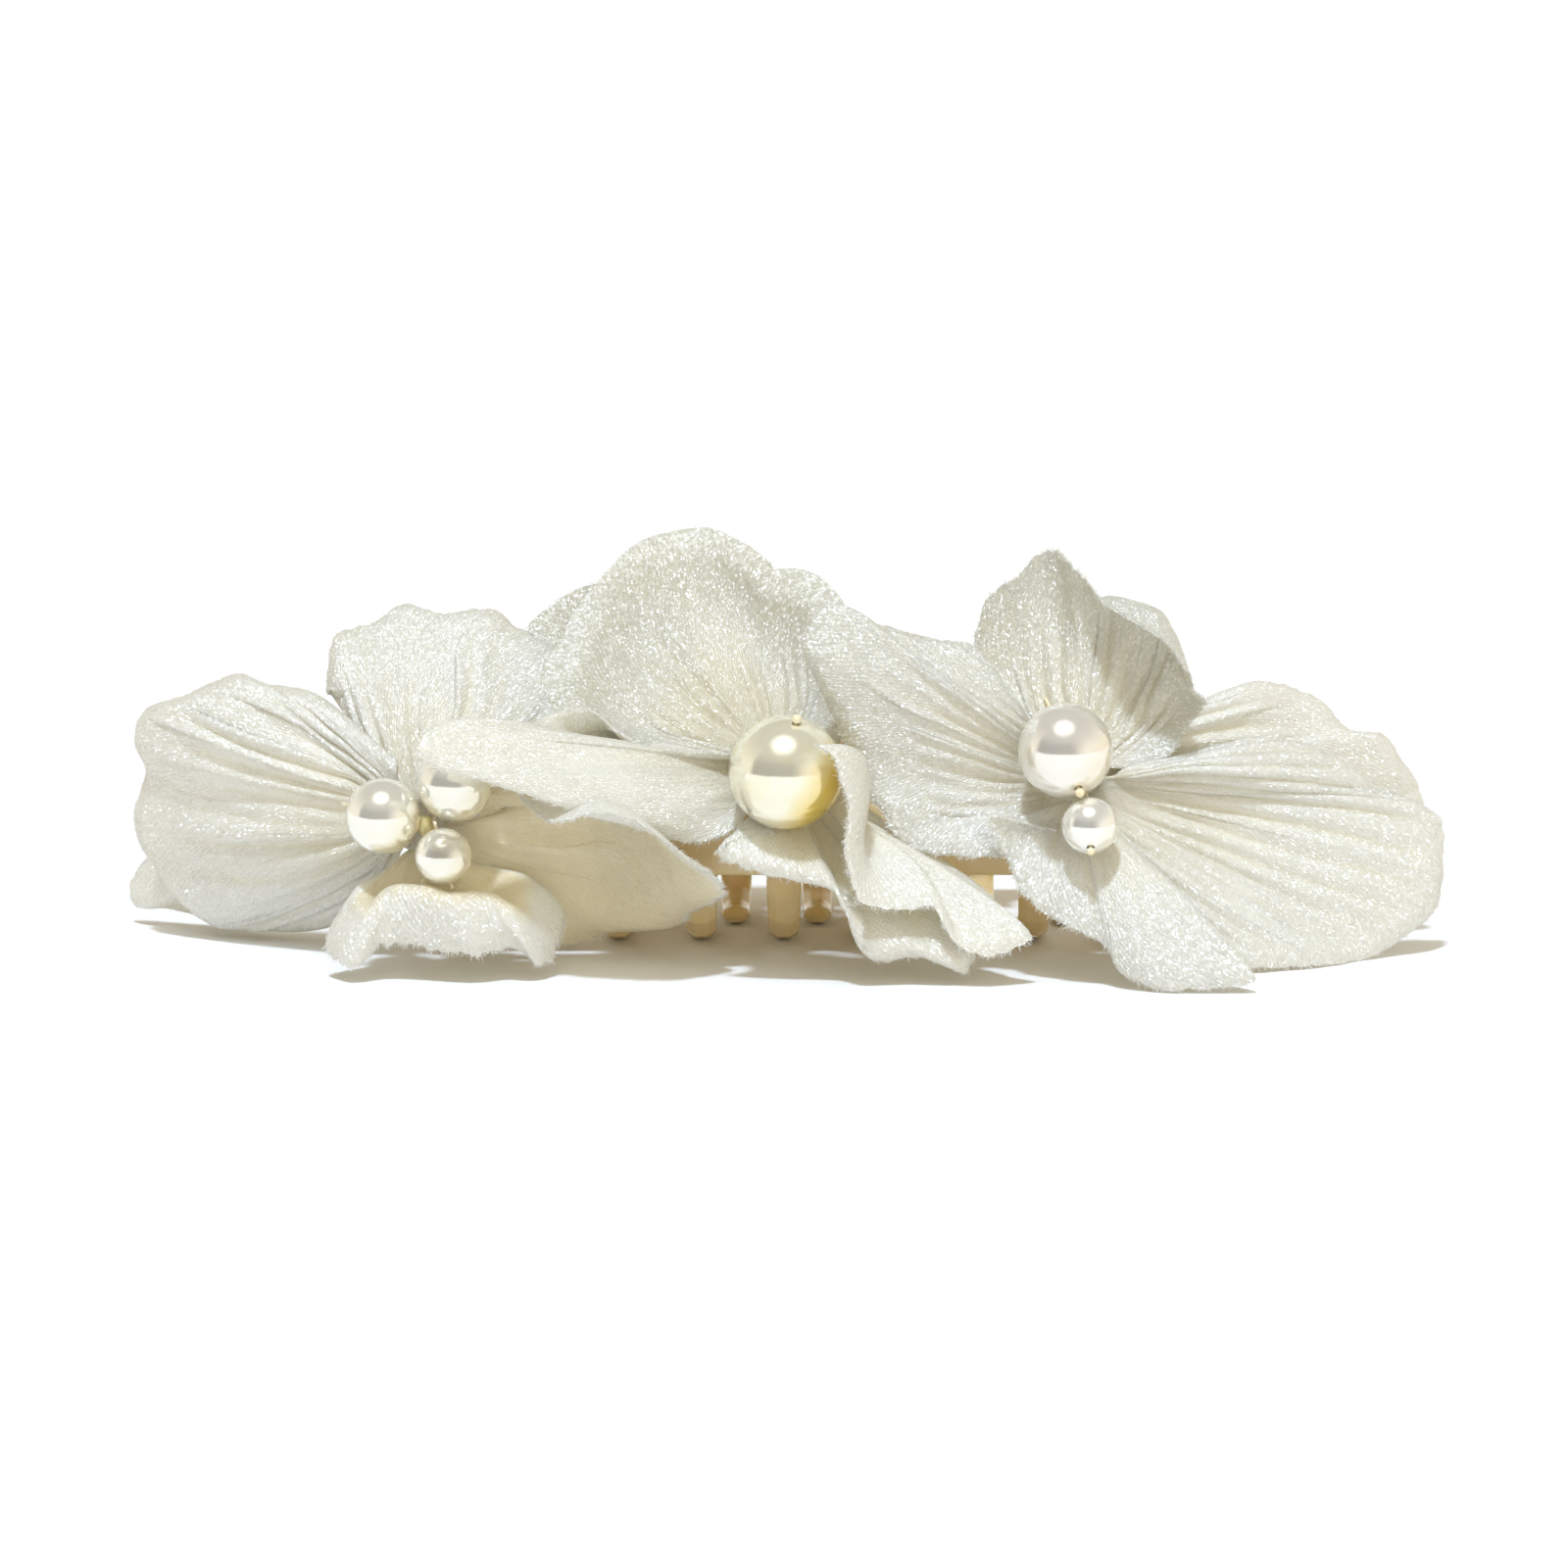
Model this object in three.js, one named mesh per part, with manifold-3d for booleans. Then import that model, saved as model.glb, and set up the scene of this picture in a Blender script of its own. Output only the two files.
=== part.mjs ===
// Flower hair clip: a sprung claw clip with three velvet flowers and pearl beads glued along its front jaw.
// Millimetres, +Z up, standing on its teeth. +X runs along the claw, -Y is the flower side.
// The origin is under the middle of the whole object, at the surface it stands on.
import * as THREE from "three";
import { mergeVertices } from "three/addons/utils/BufferGeometryUtils.js";
import Module from "manifold-3d";

const wasm = await Module();
wasm.setup();

// ---- Driving dimensions ----
const CLAW_Y = 10; // hinge plane behind the origin
const TOOTH_PITCH = 9;
const TEETH = 9; // on each jaw
const TOOTH_STAGGER = 1.85; // each jaw's comb is off its middle by this, so the two interlock
const CLAW_X = TOOTH_STAGGER; // puts a front tooth on the object's middle

const HINGE_Z = 22.5;
const JAW_RADIUS = 12; // outside of the curved plate and teeth
const JAW_THICKNESS = 2;
const JAW_CENTRE = { r: 4.5, z: JAW_RADIUS }; // centre of that curve, r out from the hinge plane
const PLATE_HALF_LENGTH = 40.6;
const PLATE_BOTTOM = 9;
const PLATE_TOP = 24.5;
const PLATE_END_TOP = 14.5;
const PLATE_FLAT_HALF = 14; // the top edge is level this far out, then falls away

const PIN_RADIUS = 0.8;
const PIN_BORE = 0.9;
const PIN_HEAD = { radius: 1.6, thickness: 0.7 };
const KNUCKLE_RADIUS = 2.5;
const KNUCKLE_LENGTH = 3.2;
const KNUCKLE_INNER = 5.4; // where the inner pair of knuckles starts
const KNUCKLE_GAP = 0.4;
const LEVER_WIDTH = 26;

const SPRING = { wire: 0.4, coil: 1.6, halfLength: 3.6, legAngle: 33.3, legEnd: { r: 5.7, z: 28.15 } };

const FELT = { radius: 3.7, thickness: 1, back: 2.1 };
const GLUE = { radius: 3.2, gap: 0.15 };
const GLUE_AT = { left: [-35, 12], center: [-0.5, 17], right: [30.5, 15.5] }; // [x, z] of each pad
const NECK = { ring: 2.4, halfWidth: 1.8, first: 0.6, layer: 0.6 };
const PETAL_THICKNESS = 0.4;
const STEM_RADIUS = 0.22;
const KNOB_RADIUS = 0.55;
const BEAD_BORE = 0.4;

// ---- Materials: colour, roughness and metalness of each kind of piece ----
const finish = (color, roughness, metalness = 0) => new THREE.MeshStandardMaterial({ color, roughness, metalness });
const IVORY_PLASTIC = finish(0xe6d3a8, 0.25);
const STEEL = finish(0xb9bcc2, 0.3, 1);
const VELVET = finish(0xf1efe4, 0.8);
const FELT_CLOTH = finish(0xe9e4d3, 0.95);
const PEARL = finish(0xf3ecd9, 0.15);
const HOT_GLUE = finish(0xd9b66a, 0.3);
const BRASS_WIRE = finish(0xcfae6b, 0.35, 1);

const part = new THREE.Group();

function addPiece(name, geometry, material, parent = part) {
  const mesh = new THREE.Mesh(geometry, material);
  mesh.name = name;
  parent.add(mesh);
  return mesh;
}

// ---- Solids and booleans ----
function toSolid(geometry) {
  const plain = geometry.index ? geometry.toNonIndexed() : geometry.clone();
  const bare = new THREE.BufferGeometry().setAttribute("position", plain.getAttribute("position"));
  const merged = mergeVertices(bare, 1e-4);
  const mesh = new wasm.Mesh({
    numProp: 3,
    vertProperties: merged.attributes.position.array,
    triVerts: new Uint32Array(merged.index.array),
  });
  return new wasm.Manifold(mesh);
}

function toGeometry(solid) {
  const mesh = solid.getMesh();
  return new THREE.BufferGeometry()
    .setAttribute("position", new THREE.BufferAttribute(mesh.vertProperties, 3))
    .setIndex(new THREE.BufferAttribute(mesh.triVerts, 1));
}

const join = (geometries) => geometries.map(toSolid).reduce((all, solid) => all.add(solid));

// A closed skin through rings of points, all with the same count, with a flat cap on each end.
function skin(rings) {
  const count = rings[0].length;
  const positions = rings.flat().flatMap((p) => [p.x, p.y, p.z]);
  const faces = [];
  for (let i = 0; i + 1 < rings.length; i++) {
    for (let k = 0; k < count; k++) {
      const [a, b] = [i * count + k, i * count + ((k + 1) % count)];
      faces.push(a, b + count, b, a, a + count, b + count);
    }
  }
  const last = (rings.length - 1) * count;
  for (let k = 1; k + 1 < count; k++) {
    faces.push(0, k, k + 1, last, last + k + 1, last + k);
  }
  const geometry = new THREE.BufferGeometry();
  geometry.setAttribute("position", new THREE.Float32BufferAttribute(positions, 3));
  geometry.setIndex(faces);
  return geometry;
}

// A bar along X with the given outline in (r, z), in a jaw's own frame.
function barAlongX(outline, fromX, toX) {
  const geometry = new THREE.ExtrudeGeometry(outline, { depth: toX - fromX, bevelEnabled: false });
  const axes = new THREE.Matrix4().makeBasis(
    new THREE.Vector3(0, 1, 0),
    new THREE.Vector3(0, 0, 1),
    new THREE.Vector3(1, 0, 0),
  );
  return geometry.applyMatrix4(axes).translate(fromX, 0, 0);
}

// A block along Y with the given outline in (x, z).
function blockAlongY(outline, fromY, toY, curveSegments = 8) {
  const geometry = new THREE.ExtrudeGeometry(outline, { depth: toY - fromY, bevelEnabled: false, curveSegments });
  return geometry.rotateX(Math.PI / 2).translate(0, toY, 0);
}

function cylinderAlongX(radius, fromX, toX, sides = 20) {
  return new THREE.CylinderGeometry(radius, radius, toX - fromX, sides)
    .rotateZ(Math.PI / 2)
    .translate((fromX + toX) / 2, 0, HINGE_Z);
}

// ---- The jaws: one moulding, used twice, the front one turned half round ----
function curvedPlate() {
  const [from, to] = [-0.26, 1.76]; // radians, from the teeth's roots to just past the top
  const outline = new THREE.Shape();
  outline.absarc(JAW_CENTRE.r, JAW_CENTRE.z, JAW_RADIUS, from, to, false);
  outline.absarc(JAW_CENTRE.r, JAW_CENTRE.z, JAW_RADIUS - JAW_THICKNESS, to, from, true);
  const shell = toSolid(barAlongX(outline, -PLATE_HALF_LENGTH - 1, PLATE_HALF_LENGTH + 1));

  const front = new THREE.Shape();
  const [end, flat] = [PLATE_HALF_LENGTH, PLATE_FLAT_HALF];
  front.moveTo(-end, PLATE_BOTTOM);
  front.lineTo(end, PLATE_BOTTOM);
  front.lineTo(end, PLATE_END_TOP - 3);
  front.lineTo(end - 2, PLATE_END_TOP);
  front.lineTo(end - 7, PLATE_END_TOP + 3.2);
  front.lineTo(end - 14, PLATE_END_TOP + 6.3);
  front.lineTo(flat, PLATE_TOP);
  front.lineTo(-flat, PLATE_TOP);
  front.lineTo(14 - end, PLATE_END_TOP + 6.3);
  front.lineTo(7 - end, PLATE_END_TOP + 3.2);
  front.lineTo(2 - end, PLATE_END_TOP);
  front.lineTo(-end, PLATE_END_TOP - 3);
  front.closePath();
  return shell.intersect(toSolid(blockAlongY(front, -5, 25)));
}

// One tooth: an eight-sided rod swept down the jaw's curve, with a flat foot at its lowest point.
function tooth(x) {
  const degrees = [-6, -19, -28, -47, -66, -84, -96, -107, -113];
  const width = [1.9, 1.9, 1.85, 1.75, 1.65, 1.6, 1.6, 1.5, 0.9];
  const depth = [0.7, 0.8, 1.2, 1.2, 1.15, 1.1, 1.1, 1.0, 0.55];
  const outside = JAW_RADIUS / Math.cos(THREE.MathUtils.degToRad(6));
  const corner = Math.tan(Math.PI / 8);
  const section = [
    [1, -corner], [1, corner], [corner, 1], [-corner, 1], [-1, corner], [-1, -corner], [-corner, -1], [corner, -1],
  ];
  const rings = degrees.map((angle, i) => {
    const turn = THREE.MathUtils.degToRad(angle);
    let radius = outside - depth[i];
    if (i < 2) radius = JAW_RADIUS - JAW_THICKNESS / 2; // the root is buried in the plate
    if (i === degrees.length - 1) radius = outside - depth[i - 1];
    return section.map(([across, out]) => {
      const reach = radius + out * depth[i];
      return new THREE.Vector3(
        x + across * width[i],
        JAW_CENTRE.r + reach * Math.cos(turn),
        JAW_CENTRE.z + reach * Math.sin(turn),
      );
    });
  });
  return skin(rings);
}

// The finger lever, leaning out above the hinge, with a flat outer face to press.
function lever() {
  const side = new THREE.Shape();
  side.moveTo(3.2, 21.8);
  side.lineTo(7.2, 22.2);
  side.lineTo(8.2, 26);
  side.lineTo(11.2, 31.4);
  side.lineTo(9.8, 32.2);
  side.lineTo(6.2, 28);
  side.lineTo(3.8, 24.8);
  side.closePath();
  const face = new THREE.Shape();
  const [half, tip] = [LEVER_WIDTH / 2, LEVER_WIDTH / 2 - 3];
  face.moveTo(-half, 21);
  face.lineTo(half, 21);
  face.lineTo(half, 25);
  face.bezierCurveTo(half, 28, tip + 1, 28, tip, 30);
  face.quadraticCurveTo(tip - 1, 33, tip - 5, 33);
  face.lineTo(5 - tip, 33);
  face.quadraticCurveTo(1 - tip, 33, -tip, 30);
  face.bezierCurveTo(-tip - 1, 28, -half, 28, -half, 25);
  face.closePath();
  return toSolid(barAlongX(side, -half, half)).intersect(toSolid(blockAlongY(face, 0, 16, 6)));
}

function jaw() {
  const outer = KNUCKLE_INNER + KNUCKLE_LENGTH + KNUCKLE_GAP;
  const knuckles = [
    [KNUCKLE_INNER, KNUCKLE_INNER + KNUCKLE_LENGTH],
    [-outer - KNUCKLE_LENGTH, -outer],
  ];
  const web = new THREE.Shape();
  web.moveTo(0, HINGE_Z - KNUCKLE_RADIUS + 0.1);
  web.lineTo(5.8, HINGE_Z + 0.1);
  web.lineTo(5.8, HINGE_Z + 0.8);
  web.lineTo(0, HINGE_Z + KNUCKLE_RADIUS - 0.1);
  web.closePath();

  const teeth = Array.from({ length: TEETH }, (_, i) =>
    tooth((i - (TEETH - 1) / 2) * TOOTH_PITCH + TOOTH_STAGGER),
  );
  let solid = join(teeth).add(curvedPlate()).add(lever());
  // Room for the other jaw's knuckles and for the spring's coil.
  const clear = KNUCKLE_RADIUS + 0.4;
  for (const [from, to] of knuckles) {
    const room = cylinderAlongX(clear, -to - KNUCKLE_GAP, -from + KNUCKLE_GAP);
    solid = solid.subtract(toSolid(room));
  }
  const coilRoom = KNUCKLE_INNER - 0.2;
  solid = solid.subtract(toSolid(cylinderAlongX(clear, -coilRoom, coilRoom)));
  for (const [from, to] of knuckles) {
    solid = solid.add(toSolid(cylinderAlongX(KNUCKLE_RADIUS, from, to))).add(toSolid(barAlongX(web, from, to)));
  }
  return toGeometry(solid.subtract(toSolid(cylinderAlongX(PIN_BORE, -20, 20, 16))));
}

function placeJaw(name, turn) {
  const mesh = addPiece(name, jaw(), IVORY_PLASTIC);
  mesh.position.set(CLAW_X, CLAW_Y, 0);
  mesh.rotation.z = turn;
}

// ---- Hinge pin and spring ----
function hingePin() {
  const shank = KNUCKLE_INNER + 2 * KNUCKLE_LENGTH + 2 * KNUCKLE_GAP;
  const profile = [
    [0, -shank - PIN_HEAD.thickness],
    [PIN_HEAD.radius, -shank - PIN_HEAD.thickness],
    [PIN_HEAD.radius, -shank],
    [PIN_RADIUS, -shank],
    [PIN_RADIUS, shank],
    [PIN_HEAD.radius, shank],
    [PIN_HEAD.radius, shank + PIN_HEAD.thickness],
    [0, shank + PIN_HEAD.thickness],
  ].map(([radius, along]) => new THREE.Vector2(radius, along));
  return new THREE.LatheGeometry(profile, 16).rotateZ(-Math.PI / 2);
}

// The spring's wire: up the front lever, round the pin and up the rear lever.
class SpringWire extends THREE.Curve {
  constructor() {
    super();
    this.start = THREE.MathUtils.degToRad(90 - SPRING.legAngle);
    this.sweep = -(2 * Math.PI * 6 - 2 * THREE.MathUtils.degToRad(SPRING.legAngle));
    this.legShare = 0.12;
  }
  getPoint(t, target = new THREE.Vector3()) {
    const along = THREE.MathUtils.clamp((t - this.legShare) / (1 - 2 * this.legShare), 0, 1);
    const angle = this.start + this.sweep * along;
    const x = SPRING.halfLength * (1 - 2 * along);
    target.set(x, SPRING.coil * Math.cos(angle), HINGE_Z + SPRING.coil * Math.sin(angle));
    const { r, z } = SPRING.legEnd;
    if (t < this.legShare) target.lerp(new THREE.Vector3(x, -r, z), 1 - t / this.legShare);
    if (t > 1 - this.legShare) target.lerp(new THREE.Vector3(x, r, z), 1 - (1 - t) / this.legShare);
    return target;
  }
}

function circleShape(radius, sides) {
  const points = Array.from({ length: sides }, (_, i) => {
    const turn = (2 * Math.PI * i) / sides;
    return new THREE.Vector2(radius * Math.cos(turn), radius * Math.sin(turn));
  });
  return new THREE.Shape(points);
}

function wireAlong(curve, radius, steps, sides) {
  return new THREE.ExtrudeGeometry(circleShape(radius, sides), { steps, extrudePath: curve, bevelEnabled: false });
}

// ---- Flowers ----
// Each petal is a fan of ribs from its neck to its margin. Margin rows are [x, y, z, belly] in millimetres from
// the flower's centre: the margin runs through them, and belly is how far the rib to that point bows out of the
// fan. late moves the bow towards the margin, and bow gives its direction where that isn't square to the fan.
// layer stacks the necks from the back of the flower to the front, and ring is a neck's distance off its middle.
const FLOWERS = {
  left: {
    centre: [-38.5, -10, 15.5],
    tilt: 0,
    petals: {
      under: {
        layer: 0,
        late: 1,
        margin: [
          [-5, 5.5, -4, 0], [-14.5, 11.5, -4.5, 0], [-24, 17, -5.5, 0], [-30.5, 20, -7, 0],
          [-33.5, 22, -10.5, 0], [-33, 22, -13.5, 0], [-30, 22, -14, 0], [-23, 19, -14.5, 0],
          [-14, 14, -13.5, 0], [-4.5, 9, -10, 0],
        ],
      },
      side: {
        layer: 1,
        late: 1,
        margin: [
          [-2.5, 0.5, 6.5, 0], [-10.5, 4, 12.5, 0.5], [-15.5, 5.5, 14, 0.5], [-20, 6, 15, 0.5],
          [-25.5, 8, 12.5, 1], [-30.5, 10, 10.5, 1], [-32.5, 11.5, 6.5, 1], [-31.5, 12.5, 3, 1.2],
          [-33, 14, -2.5, 1.5], [-31, 15, -7.5, 1], [-28.5, 15, -12, 1], [-24.5, 15, -15, 0.5],
          [-18, 13.5, -15, 0.3], [-11, 11, -14, 0], [-7, 7, -10.5, 0], [-4.5, 3, -6, 0],
        ],
      },
      top: {
        layer: 2,
        late: 1,
        margin: [
          [-3, -3, 7.5, 0], [-8.5, 0, 12.5, 0], [-10.5, 1.5, 14, 0.3], [-9.5, 7, 19, 0.8], [-6, 10, 20, 1],
          [-2.5, 12, 22, 1], [1.5, 11, 21, 0.6], [7, 12, 21.5, 1], [9.5, 11.5, 20, 1], [11.5, 11, 19, 1],
          [15, 8, 16.5, 0.8], [15.5, 6, 13.5, 0.5], [13.5, 3, 10, 0], [4.5, -1, 6, 0],
        ],
      },
      right: {
        layer: 3,
        late: 3,
        margin: [
          [5, -1, 2.5, 0], [8.5, -3.5, 5.5, -2], [11, -5.5, 3, -3], [14.5, -6.5, 1, -4], [20, -7.5, 2, -5],
          [24.5, -7, 0, -5], [28, -5, -3.5, -4], [31, -3, -7.5, -2], [28, 0, -10.5, -1], [26.5, 2, -13, 0],
          [19.5, 3.5, -14, 0], [13.5, 3, -14.5, 0], [7, 3, -13, 0], [1, 2.5, -8.5, 0],
        ],
      },
      bottom: {
        layer: 4,
        late: 3,
        margin: [
          [-5.5, -2, -6.5, 0], [-8.5, -5, -9.5, 1], [-9.5, -6.5, -12, 1.5], [-7, -9, -13.5, 2],
          [-4, -8, -11.5, 2.6], [0.5, -9, -11.5, 2.8], [5.5, -10.5, -12.5, 2.8], [9.5, -9, -12, 2.6],
          [12.5, -9, -13.5, 2.5], [14.5, -6.5, -13, 1.5], [15.5, -2, -9, 1], [9.5, -1.5, -6, 0],
        ],
      },
    },
  },
  center: {
    centre: [-0.5, -10, 21],
    tilt: 25,
    petals: {
      back: {
        layer: 0,
        late: 1,
        margin: [
          [-19.5, 9, 9, -2], [-24.5, 10.5, 11.5, -2], [-27, 12, 13.5, -2], [-25, 12.5, 15.5, -2],
          [-21, 12.5, 18, -2], [-16.5, 10.5, 18, -2], [-10.5, 8, 14, -2],
        ],
      },
      top: {
        layer: 1,
        late: 1.3,
        margin: [
          [-5.5, -1.5, 0, 0], [-13.5, -2.5, 0.5, -1], [-18, -3.5, 4.5, -2], [-22, -3, 7.5, -3],
          [-23.5, -2.5, 10.5, -3.5], [-21.5, 0, 14, -3.5], [-20.5, 3, 17, -3.5], [-18, 5, 20.5, -3.5],
          [-15, 6.5, 23, -3.5], [-11, 8, 24, -3.5], [-7, 8, 24, -3.5], [-3.5, 7, 22, -3.5],
          [-1.5, 6, 20, -3.5], [2.5, 5, 19.5, -3.5], [5.5, 2.5, 17, -3], [7, 0, 12.5, -3],
          [6.5, -2, 7.5, -2], [4, -3, 3.5, 0],
        ],
      },
      left: {
        layer: 2,
        late: 1,
        margin: [
          [-4, -6, -4.5, 0], [-6, -7, -5.5, 0], [-10, -8, -6, 0.5], [-16, -10.5, -4, 1], [-24, -13, -1, 1],
          [-30, -15, 1.5, 0.7], [-35.5, -16.5, 3.5, 0.3], [-37, -16.5, 5.5, 0], [-35, -14.5, 7.5, 0],
          [-30, -12, 7.5, 0], [-26, -9, 6, -1], [-24, -6.5, 6, -1.5], [-20, -5.5, 6.5, -2],
          [-17, -6, 4.5, -2.2], [-13.5, -6, 3, -2.2], [-5, -5, 2, 0],
        ],
      },
      bottom: {
        layer: 1,
        late: 1,
        margin: [
          [-0.5, -6, -5.5, 0], [-6, -7.5, -6.5, -0.5], [-5, -7.5, -8.5, 0.5], [0.5, -7, -10.5, 0.5],
          [5.5, -6.5, -12, 0.5], [7.5, -6, -14.5, 0.5], [9.5, -5, -19.5, 0.5], [14.5, -4.5, -19.5, 0.5],
          [19.5, -5.5, -20.5, 0.5], [21, -4.5, -17, 0], [16, -3.5, -11.5, 0], [9, -4, -6, 0],
        ],
      },
      channel: {
        layer: 4,
        late: 1.4,
        ring: 7,
        bow: [0.9, 0.3, 0.2],
        margin: [
          [4, -15, 5.5, 4.6], [6, -14.5, 4, 4.2], [7.5, -14.5, -1, 3.2], [7.5, -14.5, -7, 2.5],
          [9, -14, -11, 2], [12.5, -13, -12, 2], [16.5, -12.5, -12, 2], [19, -12.5, -16, 1.5],
          [22, -12.5, -17, 1.5], [26.5, -11, -15.5, 1], [24, -9, -13.5, 0.5], [19.5, -5, -10, 0.3],
          [15, -3, -7.5, 0], [9, -2.5, -3, 0],
        ],
      },
    },
  },
  right: {
    centre: [30.5, -10, 19.5],
    tilt: 10,
    petals: {
      top: {
        layer: 1,
        late: 1,
        margin: [
          [-4, -1, 4, 0], [-8, 2, 10, -1], [-10.5, 4, 14, -2], [-9, 5, 19, -2.5], [-5.5, 5, 22, -2.5],
          [-3.5, 5, 24, -2.5], [-1, 4.5, 25, -2.5], [1.5, 2.5, 23.5, -3], [3, 0.5, 21.5, -3.5],
          [6.5, -1, 21.5, -4], [10, -1, 20.5, -4], [12, -0.5, 17, -3.5], [12.5, 0, 14, -2.5],
          [14, 1, 10, -1.5], [11.5, 0, 5.5, -0.5], [9, -1, 1.5, 0],
        ],
      },
      upper: {
        layer: 0,
        late: 1,
        margin: [
          [7, 2.5, -0.5, 0], [11, 4.5, 4, 0], [13.5, 6.5, 8, 0.5], [18.5, 7.5, 10, 0.8], [23, 9, 9.5, 0.8],
          [27.5, 11, 7.5, 0.8], [30.5, 12, 4.5, 0.8], [34.5, 13, 3.5, 0.8], [36.5, 14, 0.5, 0.8],
          [38.5, 15, -3, 0.8], [39, 15, -8, 0.5], [33.5, 13, -11, 0], [22, 8, -10, 0], [11, 1, -4.5, 0],
        ],
      },
      side: {
        layer: 2,
        late: 1,
        margin: [
          [8.5, -3.5, -1, 0], [12, -3, 1, 0.5], [19, -1, 3, 1], [23, 0.5, 3.5, 1.2], [27, 2, 2.5, 1.2],
          [30.5, 4, 0.5, 1.2], [33, 5, -1.5, 1.2], [36.5, 6, -2.5, 1.2], [40, 7, -5, 1.2],
          [40.5, 7, -8.5, 1.2], [40, 6, -14.5, 1.2], [37, 4.5, -17, 1.2], [32.5, 2.5, -19, 1],
          [25.5, -2, -19, 1], [18.5, -4.5, -18.5, 0.8], [14.5, -4.5, -14.5, 0.5], [9, -5, -9.5, 0],
          [5.5, -5, -6, 0],
        ],
      },
      left: {
        layer: 3,
        late: 1,
        margin: [
          [-5, -3, 8, 0], [-8, -4, 12, 0.5], [-10, -4.5, 15.5, 1], [-14, -5, 16.5, 1.5], [-21, -6, 18.5, 2],
          [-24, -7, 20.5, 2], [-26.5, -7.5, 20, 1.5], [-28.5, -8, 16, 1], [-27, -7, 11.5, 1],
          [-24.5, -6.5, 7, 0.5], [-23.5, -6, 2, 0], [-20.5, -6, -1.5, 0], [-18.5, -6, -4.5, 0],
          [-15.5, -6.5, -6, 0.5], [-8.5, -6.5, -6.5, 0.5], [-3.5, -4.5, -6, 0],
        ],
      },
      bottom: {
        layer: 4,
        late: 1,
        margin: [
          [-2, -6, -4, 0], [-8.5, -8.5, -2.5, 0], [-7, -8, -6.5, 0.5], [-5, -9, -10.5, 0.5],
          [-1, -10.5, -13, 1], [3, -11.5, -15, 1.5], [4.5, -12.5, -17.5, 2], [8, -14, -19, 2],
          [11.5, -14.5, -19, 2], [18.5, -14.5, -18, 1.5], [16, -12, -15, 1], [12, -9.5, -11, 0.5],
          [7, -7, -7.5, 0],
        ],
      },
    },
  },
};

function catmullRom(values, t) {
  const last = values.length - 1;
  const at = THREE.MathUtils.clamp(t * last, 0, last - 1e-9);
  const i = Math.floor(at);
  const f = at - i;
  const [a, b, c, d] = [values[Math.max(i - 1, 0)], values[i], values[i + 1], values[Math.min(i + 2, last)]];
  return 0.5 * (2 * b + (c - a) * f + (2 * a - 5 * b + 4 * c - d) * f ** 2 + (3 * b - a - 3 * c + d) * f ** 3);
}

// The grid of points on a petal's middle surface, [rib step][margin step].
function petalGrid({ margin, layer, late, bow, ring = NECK.ring }, facing, ribSteps, marginSteps) {
  const points = margin.map(([x, y, z]) => new THREE.Vector3(x, y, z));
  const rim = new THREE.CatmullRomCurve3(points, false, "catmullrom", 0.5);
  const middle = margin.reduce((sum, [x, y, z]) => sum.add(new THREE.Vector3(x, y, z)), new THREE.Vector3());
  const outward = middle.clone().addScaledVector(facing, -middle.dot(facing)).normalize();
  const neck = outward.multiplyScalar(ring).addScaledVector(facing, NECK.first + NECK.layer * layer);
  const normal = new THREE.Vector3();
  rim.points.forEach((p, i) => {
    const next = rim.points[(i + 1) % rim.points.length];
    normal.add(p.clone().sub(neck).cross(next.clone().sub(neck)));
  });
  normal.normalize();
  if (normal.dot(facing) < 0) normal.negate();
  if (bow) normal.set(...bow).normalize();
  const across = rim.points.at(-1).clone().sub(rim.points[0]);
  across.addScaledVector(facing, -across.dot(facing)).normalize();
  const peak = late / (late + 1);
  const scale = peak ** late * (1 - peak);
  const bellies = margin.map((row) => row[3]);
  return Array.from({ length: ribSteps + 1 }, (_, i) => {
    const u = i / ribSteps;
    return Array.from({ length: marginSteps + 1 }, (_, k) => {
      const t = rim.getUtoTmapping(k / marginSteps);
      const root = neck.clone().addScaledVector(across, NECK.halfWidth * ((2 * k) / marginSteps - 1));
      const reach = (catmullRom(bellies, t) * u ** late * (1 - u)) / scale;
      return root.lerp(rim.getPoint(t), u).addScaledVector(normal, reach);
    });
  });
}

// A closed sheet of even thickness about a grid of points.
function sheet(grid, thickness) {
  const [rows, columns] = [grid.length, grid[0].length];
  const normalAt = (i, k) => {
    const down = grid[Math.min(i + 1, rows - 1)][k].clone().sub(grid[Math.max(i - 1, 0)][k]);
    const over = grid[i][Math.min(k + 1, columns - 1)].clone().sub(grid[i][Math.max(k - 1, 0)]);
    return down.cross(over).normalize();
  };
  const rings = grid.map((row, i) => {
    const front = row.map((p, k) => p.clone().addScaledVector(normalAt(i, k), thickness / 2));
    const back = row.map((p, k) => p.clone().addScaledVector(normalAt(i, k), -thickness / 2));
    return [...front, ...back.reverse()];
  });
  const count = 2 * columns;
  const positions = rings.flat().flatMap((p) => [p.x, p.y, p.z]);
  const faces = [];
  for (let i = 0; i + 1 < rows; i++) {
    for (let k = 0; k < count; k++) {
      const [a, b] = [i * count + k, i * count + ((k + 1) % count)];
      faces.push(a, b + count, b, a, a + count, b + count);
    }
  }
  const last = (rows - 1) * count;
  for (let k = 0; k + 1 < columns; k++) {
    const [a, b, c, d] = [k, k + 1, count - 2 - k, count - 1 - k];
    faces.push(a, b, c, a, c, d, last + a, last + c, last + b, last + a, last + d, last + c);
  }
  const geometry = new THREE.BufferGeometry();
  geometry.setAttribute("position", new THREE.Float32BufferAttribute(positions, 3));
  geometry.setIndex(faces);
  return geometry;
}

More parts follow.
